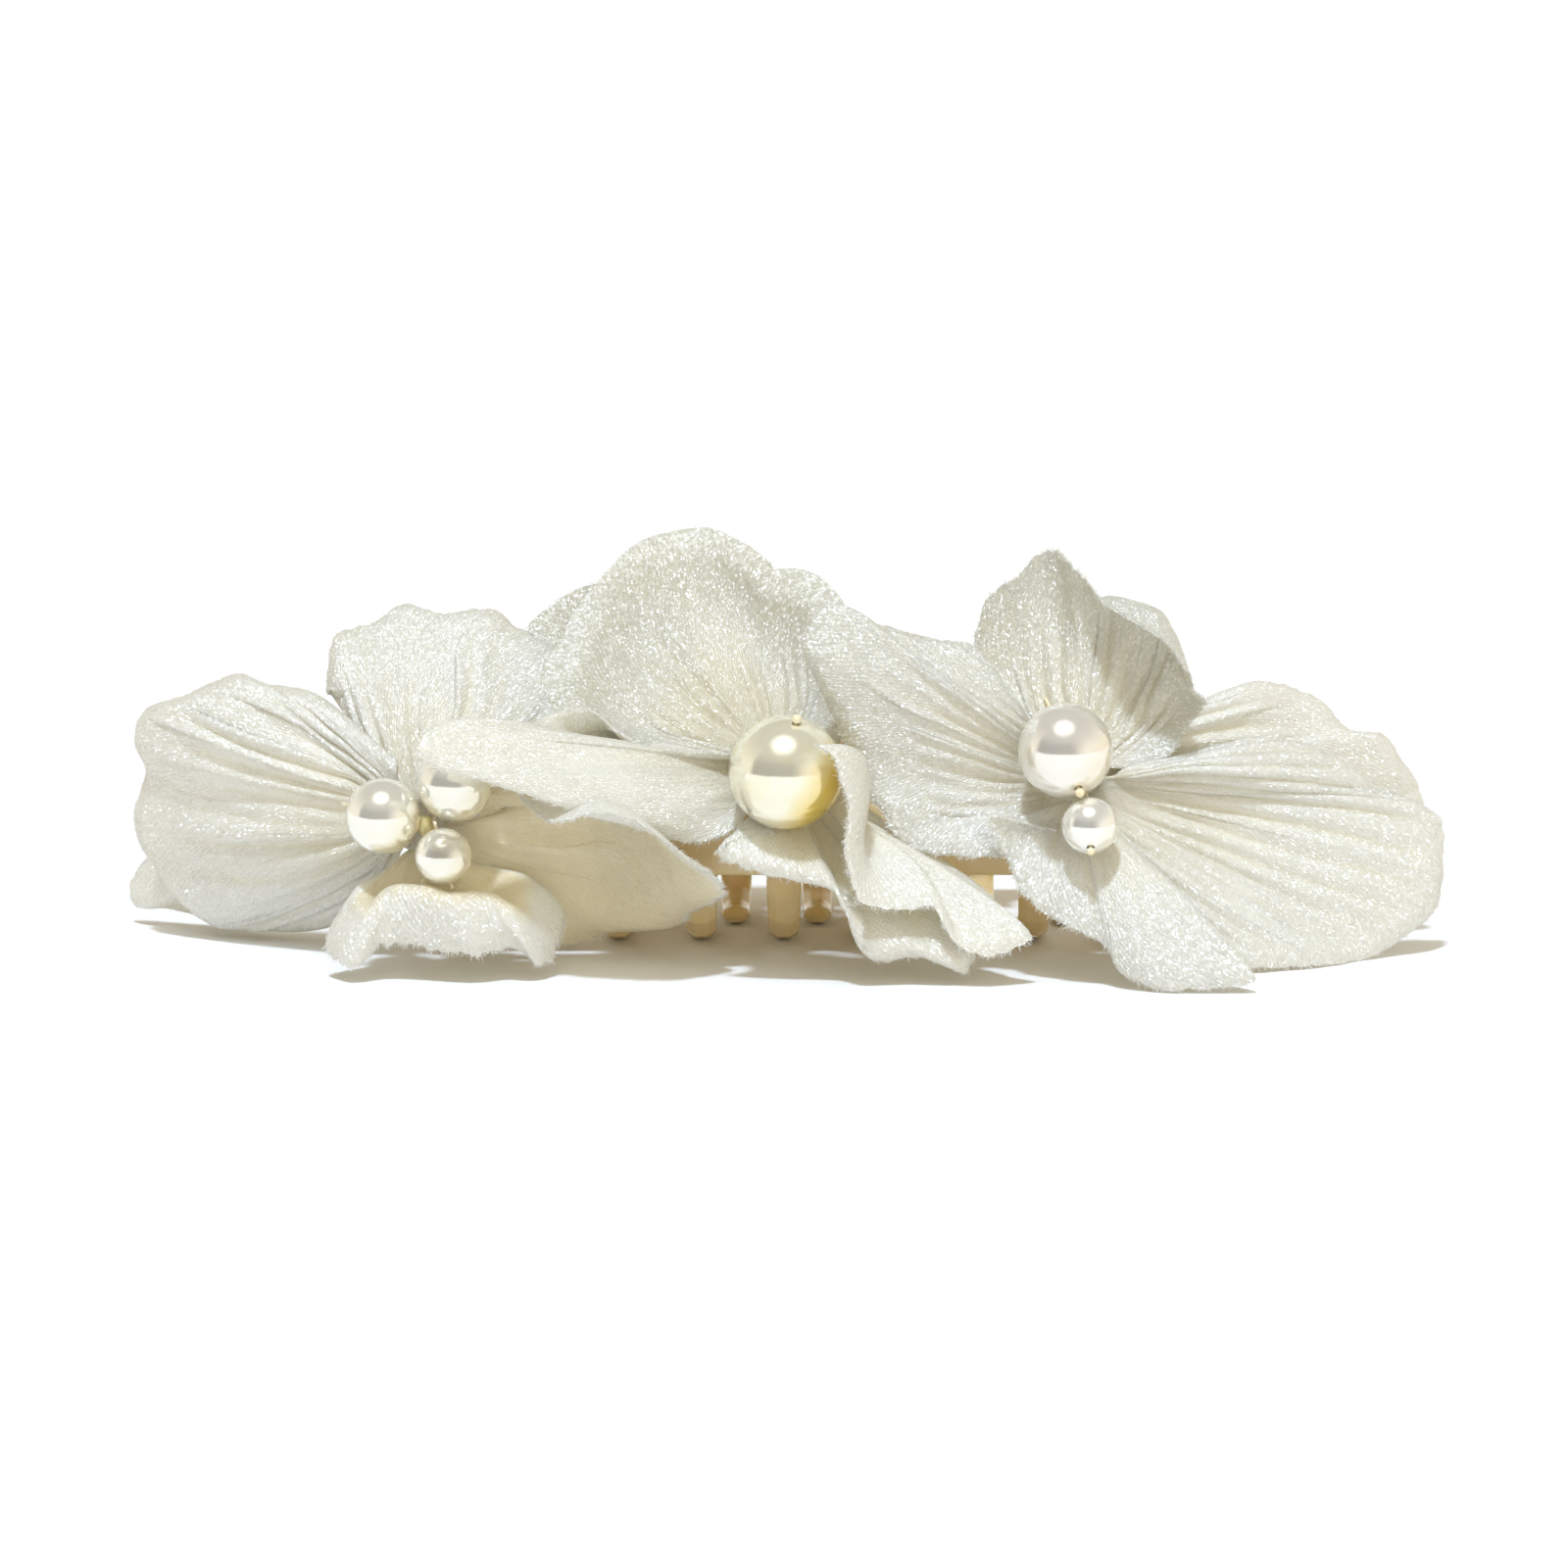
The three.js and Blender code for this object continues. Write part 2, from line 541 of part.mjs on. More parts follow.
// ---- Pearls, each on a wire that runs from the flower's middle through the bore to a small end bead ----
// out is the way the wire leaves the pearl, and path is where it runs before it goes in.
const PEARLS = {
  left_pearl_side: {
    at: [-42.1, -16, 17.3],
    diameter: 8,
    out: [-0.5, -0.8, 0.3],
    path: [[-39.3, -11.5, 15.5]],
  },
  left_pearl_upper: {
    at: [-34.6, -15.5, 20.6],
    diameter: 8,
    out: [0.55, -0.58, 0.6],
    path: [[-38.3, -11.5, 16.3]],
  },
  left_pearl_lower: {
    at: [-35.7, -18, 13.4],
    diameter: 6,
    out: [0.2, -0.5, -0.84],
    path: [[-38, -11.5, 15]],
  },
  center_pearl: {
    at: [0.2, -19, 22.5],
    diameter: 12,
    out: [0.17, -0.35, 0.92],
    path: [[-0.5, -11, 20.5], [-2.8, -13.5, 18.9], [-2.2, -15.4, 17.3]],
  },
  right_pearl_large: {
    at: [29.4, -17.5, 24.5],
    diameter: 10,
    out: [0.25, -0.68, -0.69],
    path: [[30.3, -11.5, 21], [28.6, -11.2, 25.5], [27.5, -12, 29]],
  },
  right_pearl_small: {
    at: [31.9, -20, 17],
    diameter: 6,
    out: [0, -0.75, -0.66],
    path: [[31, -11.5, 20]],
  },
};

function pearl(radius) {
  const steps = 10;
  const turn = Math.acos(BEAD_BORE / radius);
  const profile = Array.from({ length: steps + 1 }, (_, i) => {
    const angle = turn * ((2 * i) / steps - 1);
    return new THREE.Vector2(radius * Math.cos(angle), radius * Math.sin(angle));
  });
  return new THREE.LatheGeometry([...profile, profile[0].clone()], 14);
}

function placePearl(name, { at, diameter, out, path }) {
  const centre = new THREE.Vector3(...at);
  const axis = new THREE.Vector3(...out).normalize();
  const radius = diameter / 2;
  const bead = addPiece(name, pearl(radius), PEARL);
  bead.position.copy(centre);
  bead.quaternion.setFromUnitVectors(new THREE.Vector3(0, 1, 0), axis);

  const along = (distance) => centre.clone().addScaledVector(axis, distance);
  const run = [...path.map((p) => new THREE.Vector3(...p)), along(-radius - 0.6), along(-radius), along(0)];
  const wire = new THREE.CatmullRomCurve3([...run, along(radius), along(radius + 0.65)]);
  const stem = toSolid(wireAlong(wire, STEM_RADIUS, 16, 6));
  const knob = new THREE.SphereGeometry(KNOB_RADIUS, 10, 6).translate(...along(radius + 0.65).toArray());
  addPiece(name.replace("pearl", "stem"), toGeometry(stem.add(toSolid(knob))), BRASS_WIRE);
}

// ---- Flower backings ----
const leanOf = (tilt) => THREE.MathUtils.degToRad(tilt);
const facingOf = (tilt) => new THREE.Vector3(0, -Math.cos(leanOf(tilt)), Math.sin(leanOf(tilt)));

function feltDisc(tilt) {
  const middle = facingOf(tilt).multiplyScalar(-FELT.back - FELT.thickness / 2);
  const disc = new THREE.CylinderGeometry(FELT.radius, FELT.radius, FELT.thickness, 24);
  return disc.rotateX(-leanOf(tilt)).translate(middle.x, middle.y, middle.z);
}

// A pad of hot glue between a felt disc and the front jaw's curve.
function gluePad([x, z], { centre, tilt }) {
  const pad = new THREE.CylinderGeometry(GLUE.radius, GLUE.radius, 10, 20).translate(x, -5, z);
  const front = cylinderAlongX(JAW_RADIUS + GLUE.gap, -60, 60, 64);
  front.translate(0, CLAW_Y - JAW_CENTRE.r, JAW_CENTRE.z - HINGE_Z);
  const facing = facingOf(tilt);
  const back = facing.dot(new THREE.Vector3(...centre)) - FELT.back - FELT.thickness - GLUE.gap;
  return toGeometry(toSolid(pad).subtract(toSolid(front)).trimByPlane(facing.negate().toArray(), -back));
}

function placeFlower(side, flower) {
  const group = new THREE.Group();
  group.position.set(...flower.centre);
  part.add(group);
  addPiece(`${side}_felt_disc`, feltDisc(flower.tilt), FELT_CLOTH, group);
  addPiece(`${side}_glue_pad`, gluePad(GLUE_AT[side], flower), HOT_GLUE);
  for (const [name, petal] of Object.entries(flower.petals)) {
    const grid = petalGrid(petal, facingOf(flower.tilt), 6, 14);
    addPiece(`${side}_petal_${name}`, sheet(grid, PETAL_THICKNESS), VELVET, group);
  }
}

placeJaw("rear_jaw", 0);
placeJaw("front_jaw", Math.PI);
addPiece("hinge_pin", hingePin(), STEEL).position.set(CLAW_X, CLAW_Y, HINGE_Z);
addPiece("torsion_spring", wireAlong(new SpringWire(), SPRING.wire, 72, 6), STEEL).position.set(CLAW_X, CLAW_Y, 0);
for (const [side, flower] of Object.entries(FLOWERS)) placeFlower(side, flower);
for (const [name, row] of Object.entries(PEARLS)) placePearl(name, row);

export default part;
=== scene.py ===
"""Looks of the flower hair clip: velvet petals, pearl beads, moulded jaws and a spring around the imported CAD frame.

Metres in the scene, millimetres in the tables. +X runs along the claw, -Y is the flower side, +Z is up.
"""

import math

import bpy
import numpy as np
from mathutils import Matrix, Vector


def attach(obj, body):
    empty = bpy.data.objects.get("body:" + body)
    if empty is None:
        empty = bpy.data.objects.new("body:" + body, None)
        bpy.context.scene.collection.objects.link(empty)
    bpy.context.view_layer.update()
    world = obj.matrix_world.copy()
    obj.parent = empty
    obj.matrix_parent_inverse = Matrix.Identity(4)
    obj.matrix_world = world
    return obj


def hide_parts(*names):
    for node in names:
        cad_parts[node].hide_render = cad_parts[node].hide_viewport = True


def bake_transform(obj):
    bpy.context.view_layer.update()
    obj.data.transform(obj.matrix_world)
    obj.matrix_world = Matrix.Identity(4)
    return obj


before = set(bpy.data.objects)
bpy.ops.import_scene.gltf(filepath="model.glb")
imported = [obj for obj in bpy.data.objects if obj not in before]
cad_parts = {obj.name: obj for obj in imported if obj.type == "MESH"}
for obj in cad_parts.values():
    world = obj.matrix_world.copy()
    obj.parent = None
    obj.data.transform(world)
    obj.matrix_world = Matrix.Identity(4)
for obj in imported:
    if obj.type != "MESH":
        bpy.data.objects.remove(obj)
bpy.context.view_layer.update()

MM = 0.001
HINGE_Y = 10.0
HINGE_Z = 22.5
CLAW_X = 1.85

# ---- Flowers: the CAD's petals, in mm ----
# tilt leans a flower's front upwards, in degrees. A margin's rows are its points from the flower's centre, each with
# how far the cloth bellies between it and the neck. late, usually 1, moves the belly towards the margin; bow gives its
# direction where that isn't square to the fan. layer stacks the necks from the back of the flower to the front, and
# ring is a neck's distance off the flower's middle.
FLOWERS = {
    "left": {
        "centre": (-38.5, -10, 15.5),
        "tilt": 0,
        "petals": {
            "under": {
                "layer": 0,
                "margin": [
                    (-5, 5.5, -4, 0), (-14.5, 11.5, -4.5, 0), (-24, 17, -5.5, 0), (-30.5, 20, -7, 0),
                    (-33.5, 22, -10.5, 0), (-33, 22, -13.5, 0), (-30, 22, -14, 0), (-23, 19, -14.5, 0),
                    (-14, 14, -13.5, 0), (-4.5, 9, -10, 0),
                ],
            },
            "side": {
                "layer": 1,
                "margin": [
                    (-2.5, 0.5, 6.5, 0), (-10.5, 4, 12.5, 0.5), (-15.5, 5.5, 14, 0.5), (-20, 6, 15, 0.5),
                    (-25.5, 8, 12.5, 1), (-30.5, 10, 10.5, 1), (-32.5, 11.5, 6.5, 1), (-31.5, 12.5, 3, 1.2),
                    (-33, 14, -2.5, 1.5), (-31, 15, -7.5, 1), (-28.5, 15, -12, 1), (-24.5, 15, -15, 0.5),
                    (-18, 13.5, -15, 0.3), (-11, 11, -14, 0), (-7, 7, -10.5, 0), (-4.5, 3, -6, 0),
                ],
            },
            "top": {
                "layer": 2,
                "margin": [
                    (-3, -3, 7.5, 0), (-8.5, 0, 12.5, 0), (-10.5, 1.5, 14, 0.3), (-9.5, 7, 19, 0.8),
                    (-6, 10, 20, 1), (-2.5, 12, 22, 1), (1.5, 11, 21, 0.6), (7, 12, 21.5, 1),
                    (9.5, 11.5, 20, 1), (11.5, 11, 19, 1), (15, 8, 16.5, 0.8), (15.5, 6, 13.5, 0.5),
                    (13.5, 3, 10, 0), (4.5, -1, 6, 0),
                ],
            },
            "right": {
                "layer": 3, "late": 3,
                "margin": [
                    (5, -1, 2.5, 0), (8.5, -3.5, 5.5, -2), (11, -5.5, 3, -3), (14.5, -6.5, 1, -4),
                    (20, -7.5, 2, -5), (24.5, -7, 0, -5), (28, -5, -3.5, -4), (31, -3, -7.5, -2),
                    (28, 0, -10.5, -1), (26.5, 2, -13, 0), (19.5, 3.5, -14, 0), (13.5, 3, -14.5, 0),
                    (7, 3, -13, 0), (1, 2.5, -8.5, 0),
                ],
            },
            "bottom": {
                "layer": 4, "late": 3,
                "margin": [
                    (-5.5, -2, -6.5, 0), (-8.5, -5, -9.5, 1), (-9.5, -6.5, -12, 1.5), (-7, -9, -13.5, 2),
                    (-4, -8, -11.5, 2.6), (0.5, -9, -11.5, 2.8), (5.5, -10.5, -12.5, 2.8),
                    (9.5, -9, -12, 2.6), (12.5, -9, -13.5, 2.5), (14.5, -6.5, -13, 1.5), (15.5, -2, -9, 1),
                    (9.5, -1.5, -6, 0),
                ],
            },
        },
    },
    "center": {
        "centre": (-0.5, -10, 21),
        "tilt": 25,
        "petals": {
            "back": {
                "layer": 0,
                "margin": [
                    (-19.5, 9, 9, -2), (-24.5, 10.5, 11.5, -2), (-27, 12, 13.5, -2), (-25, 12.5, 15.5, -2),
                    (-21, 12.5, 18, -2), (-16.5, 10.5, 18, -2), (-10.5, 8, 14, -2),
                ],
            },
            "top": {
                "layer": 1, "late": 1.3,
                "margin": [
                    (-5.5, -1.5, 0, 0), (-13.5, -2.5, 0.5, -1), (-18, -3.5, 4.5, -2), (-22, -3, 7.5, -3),
                    (-23.5, -2.5, 10.5, -3.5), (-21.5, 0, 14, -3.5), (-20.5, 3, 17, -3.5),
                    (-18, 5, 20.5, -3.5), (-15, 6.5, 23, -3.5), (-11, 8, 24, -3.5), (-7, 8, 24, -3.5),
                    (-3.5, 7, 22, -3.5), (-1.5, 6, 20, -3.5), (2.5, 5, 19.5, -3.5), (5.5, 2.5, 17, -3),
                    (7, 0, 12.5, -3), (6.5, -2, 7.5, -2), (4, -3, 3.5, 0),
                ],
            },
            "left": {
                "layer": 2,
                "margin": [
                    (-4, -6, -4.5, 0), (-6, -7, -5.5, 0), (-10, -8, -6, 0.5), (-16, -10.5, -4, 1),
                    (-24, -13, -1, 1), (-30, -15, 1.5, 0.7), (-35.5, -16.5, 3.5, 0.3), (-37, -16.5, 5.5, 0),
                    (-35, -14.5, 7.5, 0), (-30, -12, 7.5, 0), (-26, -9, 6, -1), (-24, -6.5, 6, -1.5),
                    (-20, -5.5, 6.5, -2), (-17, -6, 4.5, -2.2), (-13.5, -6, 3, -2.2), (-5, -5, 2, 0),
                ],
            },
            "bottom": {
                "layer": 1,
                "margin": [
                    (-0.5, -6, -5.5, 0), (-6, -7.5, -6.5, -0.5), (-5, -7.5, -8.5, 0.5),
                    (0.5, -7, -10.5, 0.5), (5.5, -6.5, -12, 0.5), (7.5, -6, -14.5, 0.5),
                    (9.5, -5, -19.5, 0.5), (14.5, -4.5, -19.5, 0.5), (19.5, -5.5, -20.5, 0.5),
                    (21, -4.5, -17, 0), (16, -3.5, -11.5, 0), (9, -4, -6, 0),
                ],
            },
            "channel": {
                "layer": 4, "late": 1.4, "ring": 7, "bow": (0.9, 0.3, 0.2),
                "margin": [
                    (4, -15, 5.5, 4.6), (6, -14.5, 4, 4.2), (7.5, -14.5, -1, 3.2), (7.5, -14.5, -7, 2.5),
                    (9, -14, -11, 2), (12.5, -13, -12, 2), (16.5, -12.5, -12, 2), (19, -12.5, -16, 1.5),
                    (22, -12.5, -17, 1.5), (26.5, -11, -15.5, 1), (24, -9, -13.5, 0.5),
                    (19.5, -5, -10, 0.3), (15, -3, -7.5, 0), (9, -2.5, -3, 0),
                ],
            },
        },
    },
    "right": {
        "centre": (30.5, -10, 19.5),
        "tilt": 10,
        "petals": {
            "top": {
                "layer": 1,
                "margin": [
                    (-4, -1, 4, 0), (-8, 2, 10, -1), (-10.5, 4, 14, -2), (-9, 5, 19, -2.5),
                    (-5.5, 5, 22, -2.5), (-3.5, 5, 24, -2.5), (-1, 4.5, 25, -2.5), (1.5, 2.5, 23.5, -3),
                    (3, 0.5, 21.5, -3.5), (6.5, -1, 21.5, -4), (10, -1, 20.5, -4), (12, -0.5, 17, -3.5),
                    (12.5, 0, 14, -2.5), (14, 1, 10, -1.5), (11.5, 0, 5.5, -0.5), (9, -1, 1.5, 0),
                ],
            },
            "upper": {
                "layer": 0,
                "margin": [
                    (7, 2.5, -0.5, 0), (11, 4.5, 4, 0), (13.5, 6.5, 8, 0.5), (18.5, 7.5, 10, 0.8),
                    (23, 9, 9.5, 0.8), (27.5, 11, 7.5, 0.8), (30.5, 12, 4.5, 0.8), (34.5, 13, 3.5, 0.8),
                    (36.5, 14, 0.5, 0.8), (38.5, 15, -3, 0.8), (39, 15, -8, 0.5), (33.5, 13, -11, 0),
                    (22, 8, -10, 0), (11, 1, -4.5, 0),
                ],
            },
            "side": {
                "layer": 2,
                "margin": [
                    (8.5, -3.5, -1, 0), (12, -3, 1, 0.5), (19, -1, 3, 1), (23, 0.5, 3.5, 1.2),
                    (27, 2, 2.5, 1.2), (30.5, 4, 0.5, 1.2), (33, 5, -1.5, 1.2), (36.5, 6, -2.5, 1.2),
                    (40, 7, -5, 1.2), (40.5, 7, -8.5, 1.2), (40, 6, -14.5, 1.2), (37, 4.5, -17, 1.2),
                    (32.5, 2.5, -19, 1), (25.5, -2, -19, 1), (18.5, -4.5, -18.5, 0.8),
                    (14.5, -4.5, -14.5, 0.5), (9, -5, -9.5, 0), (5.5, -5, -6, 0),
                ],
            },
            "left": {
                "layer": 3,
                "margin": [
                    (-5, -3, 8, 0), (-8, -4, 12, 0.5), (-10, -4.5, 15.5, 1), (-14, -5, 16.5, 1.5),
                    (-21, -6, 18.5, 2), (-24, -7, 20.5, 2), (-26.5, -7.5, 20, 1.5), (-28.5, -8, 16, 1),
                    (-27, -7, 11.5, 1), (-24.5, -6.5, 7, 0.5), (-23.5, -6, 2, 0), (-20.5, -6, -1.5, 0),
                    (-18.5, -6, -4.5, 0), (-15.5, -6.5, -6, 0.5), (-8.5, -6.5, -6.5, 0.5),
                    (-3.5, -4.5, -6, 0),
                ],
            },
            "bottom": {
                "layer": 4,
                "margin": [
                    (-2, -6, -4, 0), (-8.5, -8.5, -2.5, 0), (-7, -8, -6.5, 0.5), (-5, -9, -10.5, 0.5),
                    (-1, -10.5, -13, 1), (3, -11.5, -15, 1.5), (4.5, -12.5, -17.5, 2), (8, -14, -19, 2),
                    (11.5, -14.5, -19, 2), (18.5, -14.5, -18, 1.5), (16, -12, -15, 1), (12, -9.5, -11, 0.5),
                    (7, -7, -7.5, 0),
                ],
            },
        },
    },
}

NECK_RING = 2.4
NECK_HALF_WIDTH = 1.8
NECK_LAYER = 0.6
SHEET_THICKNESS = 0.34
RIB_STEPS = 64
EVENING_PASSES = 12

# How each petal's cloth is pressed, frayed and painted with shade; t runs along the margin and u from the neck to the
# margin, both 0 to 1. ribs: how many pleats fan out; deep: their height in mm; reach: where they fade out, as a share
# of the way to the margin; curl: how far the margin rolls back, or forward where it is negative, over a band in mm;
# ruffle: the slow waves of the margin; fray: how ragged its cut edge is; warm: how strong the painted tan shade is,
# from brim mm in from its margin and from low_brim mm on its second half, blending over melt mm; painted_grey_gloss:
# how much painted grey shade the cloth gets, with more satin gloss and painted glints; dents: (t, u, spread t, spread
# u, mm) pushes towards the front; bends: the same with a push of (x, y, z).
LOOKS = {
    "left_under": {"ribs": 13, "curl": 0.6},
    "left_side": {
        "ribs": 19, "deep": 0.68, "reach": 0.92, "curl": 1.6, "ruffle": 0.7, "painted_grey_gloss": 0.15,
        "dents": ((0.3, 0.75, 0.12, 0.25, 1.2),),
        "bends": ((0.05, 1.0, 0.14, 0.5, (0, -2, 0.5)),),
    },
    "left_top": {
        "ribs": 17, "deep": 0.55, "reach": 0.82, "curl": 1.3, "ruffle": 0.7, "painted_grey_gloss": 0.4,
        "bends": ((0.0, 1.0, 0.2, 0.8, (0, 8, -0.5)),),
    },
    "left_right": {
        "ribs": 12, "deep": 0.2, "reach": 0.7, "curl": 2.0, "band": 5, "ruffle": 0.3, "fray": 1.4, "warm": 1.0,
        "brim": 4.4, "low_brim": 0.6, "melt": 1.3,
        "bends": ((0.32, 1.0, 0.22, 0.3, (0, -7.5, 1)), (0.45, 0.55, 0.3, 0.22, (0, 2, 0))),
    },
    "left_bottom": {
        "ribs": 11, "deep": 0.16, "reach": 0.9, "curl": 0.9, "ruffle": 0.5, "fray": 1.6, "warm": 1.0, "brim": 5.5,
        "dents": ((0.5, 0.66, 0.4, 0.13, 1.3), (0.5, 0.38, 0.35, 0.18, -1.0)),
    },
    "center_back": {"ribs": 9, "deep": 0.3, "curl": 0.5, "fray": 0.4, "painted_grey_gloss": 1.0},
    "center_top": {
        "ribs": 26, "deep": 0.42, "reach": 0.7, "curl": 2.2, "ruffle": 0.6, "fray": 0.25, "warm": 0.6, "brim": 8,
        "melt": 11, "painted_grey_gloss": 1.0,
    },
    "center_left": {
        "ribs": 12, "deep": 0.16, "reach": 0.7, "curl": 0.7, "ruffle": 0.2,
        "bends": ((0.77, 0.7, 0.1, 0.16, (0, 4, -1)), (0.74, 1.0, 0.1, 0.12, (0, -1, 1.2))),
    },
    "center_bottom": {
        "ribs": 12, "deep": 0.2, "reach": 0.8, "curl": 1.2, "ruffle": 0.35, "fray": 1.4, "warm": 0.3, "brim": 6,
        "bends": ((0.3, 0.85, 0.35, 0.5, (0, -5.5, 1)), (0.6, 0.95, 0.2, 0.4, (0, -4, 0.7))),
    },
    "center_channel": {"ribs": 10, "deep": 0.18, "reach": 0.8, "curl": 0.6, "ruffle": 0.25},
    "right_top": {
        "ribs": 19, "deep": 0.6, "reach": 0.8, "curl": -0.4, "ruffle": 0.5, "warm": 0.15, "painted_grey_gloss": 0.9,
        "dents": ((0.48, 0.85, 0.045, 0.3, 1.4), (0.56, 0.72, 0.05, 0.22, -1.6)),
        "bends": ((0.68, 1.0, 0.14, 0.1, (0, -4, -5)), (0.68, 0.86, 0.14, 0.08, (0, -0.5, 1.5))),
    },
    "right_upper": {"ribs": 14, "deep": 0.6, "reach": 0.85, "curl": 1.2, "ruffle": 0.8},
    "right_side": {
        "ribs": 23, "deep": 0.45, "reach": 1.0, "curl": 1.1, "ruffle": 0.5, "painted_grey_gloss": 0.2,
        "bends": (
            (0.08, 1.0, 0.16, 0.45, (0, 5, 1.2)), (0.2, 0.6, 0.12, 0.25, (0, -1.5, 0)),
            (0, 0.55, 0.08, 0.4, (0, 0, 1.6)),
        ),
    },
    "right_left": {"ribs": 22, "deep": 0.3, "reach": 0.75, "curl": 1.1, "ruffle": 0.5, "painted_grey_gloss": 0.8},
    "right_bottom": {"ribs": 12, "deep": 0.3, "reach": 0.9, "curl": 0.6, "ruffle": 0.5, "painted_grey_gloss": 0.55},
}
USUAL_LOOK = {
    "ribs": 12, "deep": 0.3, "reach": 0.8, "curl": 0.5, "band": 2.6, "ruffle": 0.4, "fray": 1.0, "warm": 0.0,
    "brim": 2.2, "melt": 2.5, "painted_grey_gloss": 0.0, "dents": (), "bends": (),
}

# Where each bead is, the way out of its bore, and the points its line passes on the way there.
PEARLS = {
    "left_pearl_side": {
        "at": (-42.1, -16, 17.3), "diameter": 8, "out": (-0.95, -0.05, 0.3), "path": [(-37.5, -12, 15.2)],
    },
    "left_pearl_upper": {
        "at": (-34.6, -15.5, 20.6), "diameter": 8, "out": (0.5, 0.1, 0.86), "path": [(-37.4, -12, 16)],
    },
    "left_pearl_lower": {
        "at": (-35.7, -18, 13.4), "diameter": 6, "out": (0.25, -0.1, -0.96), "path": [(-37.2, -12, 15.6)],
    },
    "center_pearl": {
        "at": (0.2, -19, 22.5), "diameter": 12, "out": (0.17, -0.35, 0.92),
        "path": [(-0.5, -11, 20.5), (-2.8, -13.5, 18.9), (-2.2, -15.4, 17.3)],
    },
    "right_pearl_large": {
        "at": (29.4, -17.5, 24.5), "diameter": 10, "out": (0.25, -0.68, -0.69),
        "path": [(30.3, -11.5, 21), (28.6, -11.2, 25.5), (27.5, -12, 29)],
    },
    "right_pearl_small": {"at": (31.9, -20, 17), "diameter": 6, "out": (0, -0.75, -0.66), "path": [(31, -11.5, 20)]},
}
BEAD_BORE = 0.4
BEAD_FILLET = 0.1
LINE_RADIUS = 0.2

# ---- Small maths ----
NOISE_CELLS = 64


def smoothstep(low, high, x):
    s = np.clip((x - low) / (high - low), 0, 1)
    return s * s * (3 - 2 * s)


def unit(v):
    v = np.asarray(v, float)
    return v / np.linalg.norm(v, axis=-1, keepdims=True).clip(1e-9)


def noise(x, y=0.0, seed=0):
    """Smooth values from -1 to 1 over a plane, the same on every run."""
    table = np.random.RandomState(seed).uniform(-1, 1, (NOISE_CELLS, NOISE_CELLS))
    x, y = np.broadcast_arrays(np.asarray(x, float), np.asarray(y, float))
    i, j = np.floor(x).astype(int), np.floor(y).astype(int)
    f, g = x - i, y - j
    f, g = f * f * (3 - 2 * f), g * g * (3 - 2 * g)
    i0, i1, j0, j1 = (k % NOISE_CELLS for k in (i, i + 1, j, j + 1))
    low = table[i0, j0] * (1 - f) + table[i1, j0] * f
    high = table[i0, j1] * (1 - f) + table[i1, j1] * f
    return low * (1 - g) + high * g


def catmull_rom(points, t, run_on):
    """Points at t along a curve through points; run_on carries its ends straight on, as the rim's do."""
    p = np.asarray(points, float)
    first, final = (2 * p[0] - p[1], 2 * p[-1] - p[-2]) if run_on else (p[0], p[-1])
    ext = np.concatenate([first[None], p, final[None]])
    s = np.clip(np.asarray(t) * (len(p) - 1), 0, len(p) - 1 - 1e-9)
    i = s.astype(int)
    f = (s - i).reshape((-1,) + (1,) * (p.ndim - 1))
    a, b, c, d = ext[i], ext[i + 1], ext[i + 2], ext[i + 3]
    return 0.5 * (2 * b + (c - a) * f + (2 * a - 5 * b + 4 * c - d) * f**2 + (3 * b - a - 3 * c + d) * f**3)


# ---- Meshes ----
def mesh_object(name, points, faces, **maps):
    """A smooth object from points in mm and faces with the same number of corners, with a UV map for each of maps."""
    points, faces = np.asarray(points, float), np.asarray(faces, np.int32)
    first = points[faces[:, 0]]
    volume = sum(
        (first * np.cross(points[faces[:, i]], points[faces[:, i + 1]])).sum() for i in range(1, faces.shape[1] - 1)
    )
    if volume < 0:  # a closed piece's faces look outwards
        faces = faces[:, ::-1]
    mesh = bpy.data.meshes.new(name)
    mesh.vertices.add(len(points))
    mesh.vertices.foreach_set("co", (points * MM).astype(np.float32).ravel())
    mesh.loops.add(faces.size)
    mesh.loops.foreach_set("vertex_index", faces.ravel())
    mesh.polygons.add(len(faces))
    mesh.polygons.foreach_set("loop_start", np.arange(0, faces.size, faces.shape[1], dtype=np.int32))
    mesh.polygons.foreach_set("use_smooth", np.ones(len(faces), bool))
    mesh.update(calc_edges=True)
    mesh.validate()
    for title, uv in maps.items():
        layer = mesh.uv_layers.new(name=title)
        layer.data.foreach_set("uv", np.asarray(uv, np.float32)[faces.ravel()].ravel())
    obj = bpy.data.objects.new(name, mesh)
    bpy.context.scene.collection.objects.link(obj)
    return obj


def place(obj, body, material, slot, *nodes):
    """Gives a piece its body and look, and hides the CAD nodes it stands for; slot is not used."""
    obj.data.materials.clear()
    obj.data.materials.append(material)
    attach(obj, body)
    if nodes:
        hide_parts(*nodes)
    return obj


def tube_faces(rings, sides, start=0):
    """Quads of a tube whose rings are numbered in turn from start."""
    i = np.arange(rings - 1)[:, None]
    k = np.arange(sides)[None, :]
    a = start + i * sides + k
    b = start + i * sides + (k + 1) % sides
    return np.stack([a, b, b + sides, a + sides], -1).reshape(-1, 4)


def tube(points, radii, sides):
    """Rings of points around a line, carried along it without twist."""
    p = np.asarray(points, float)
    ahead = unit(np.gradient(p, axis=0))
    side = np.cross(ahead[0], (0.3, 0.2, 0.93))
    rings = []
    for centre, along, radius in zip(p, ahead, np.broadcast_to(radii, len(p))):
        side = unit(side - along * (side @ along))
        up = np.cross(along, side)
        turn = 2 * np.pi * np.arange(sides) / sides
        rings.append(centre + radius * (np.cos(turn)[:, None] * side + np.sin(turn)[:, None] * up))
    return np.concatenate(rings)


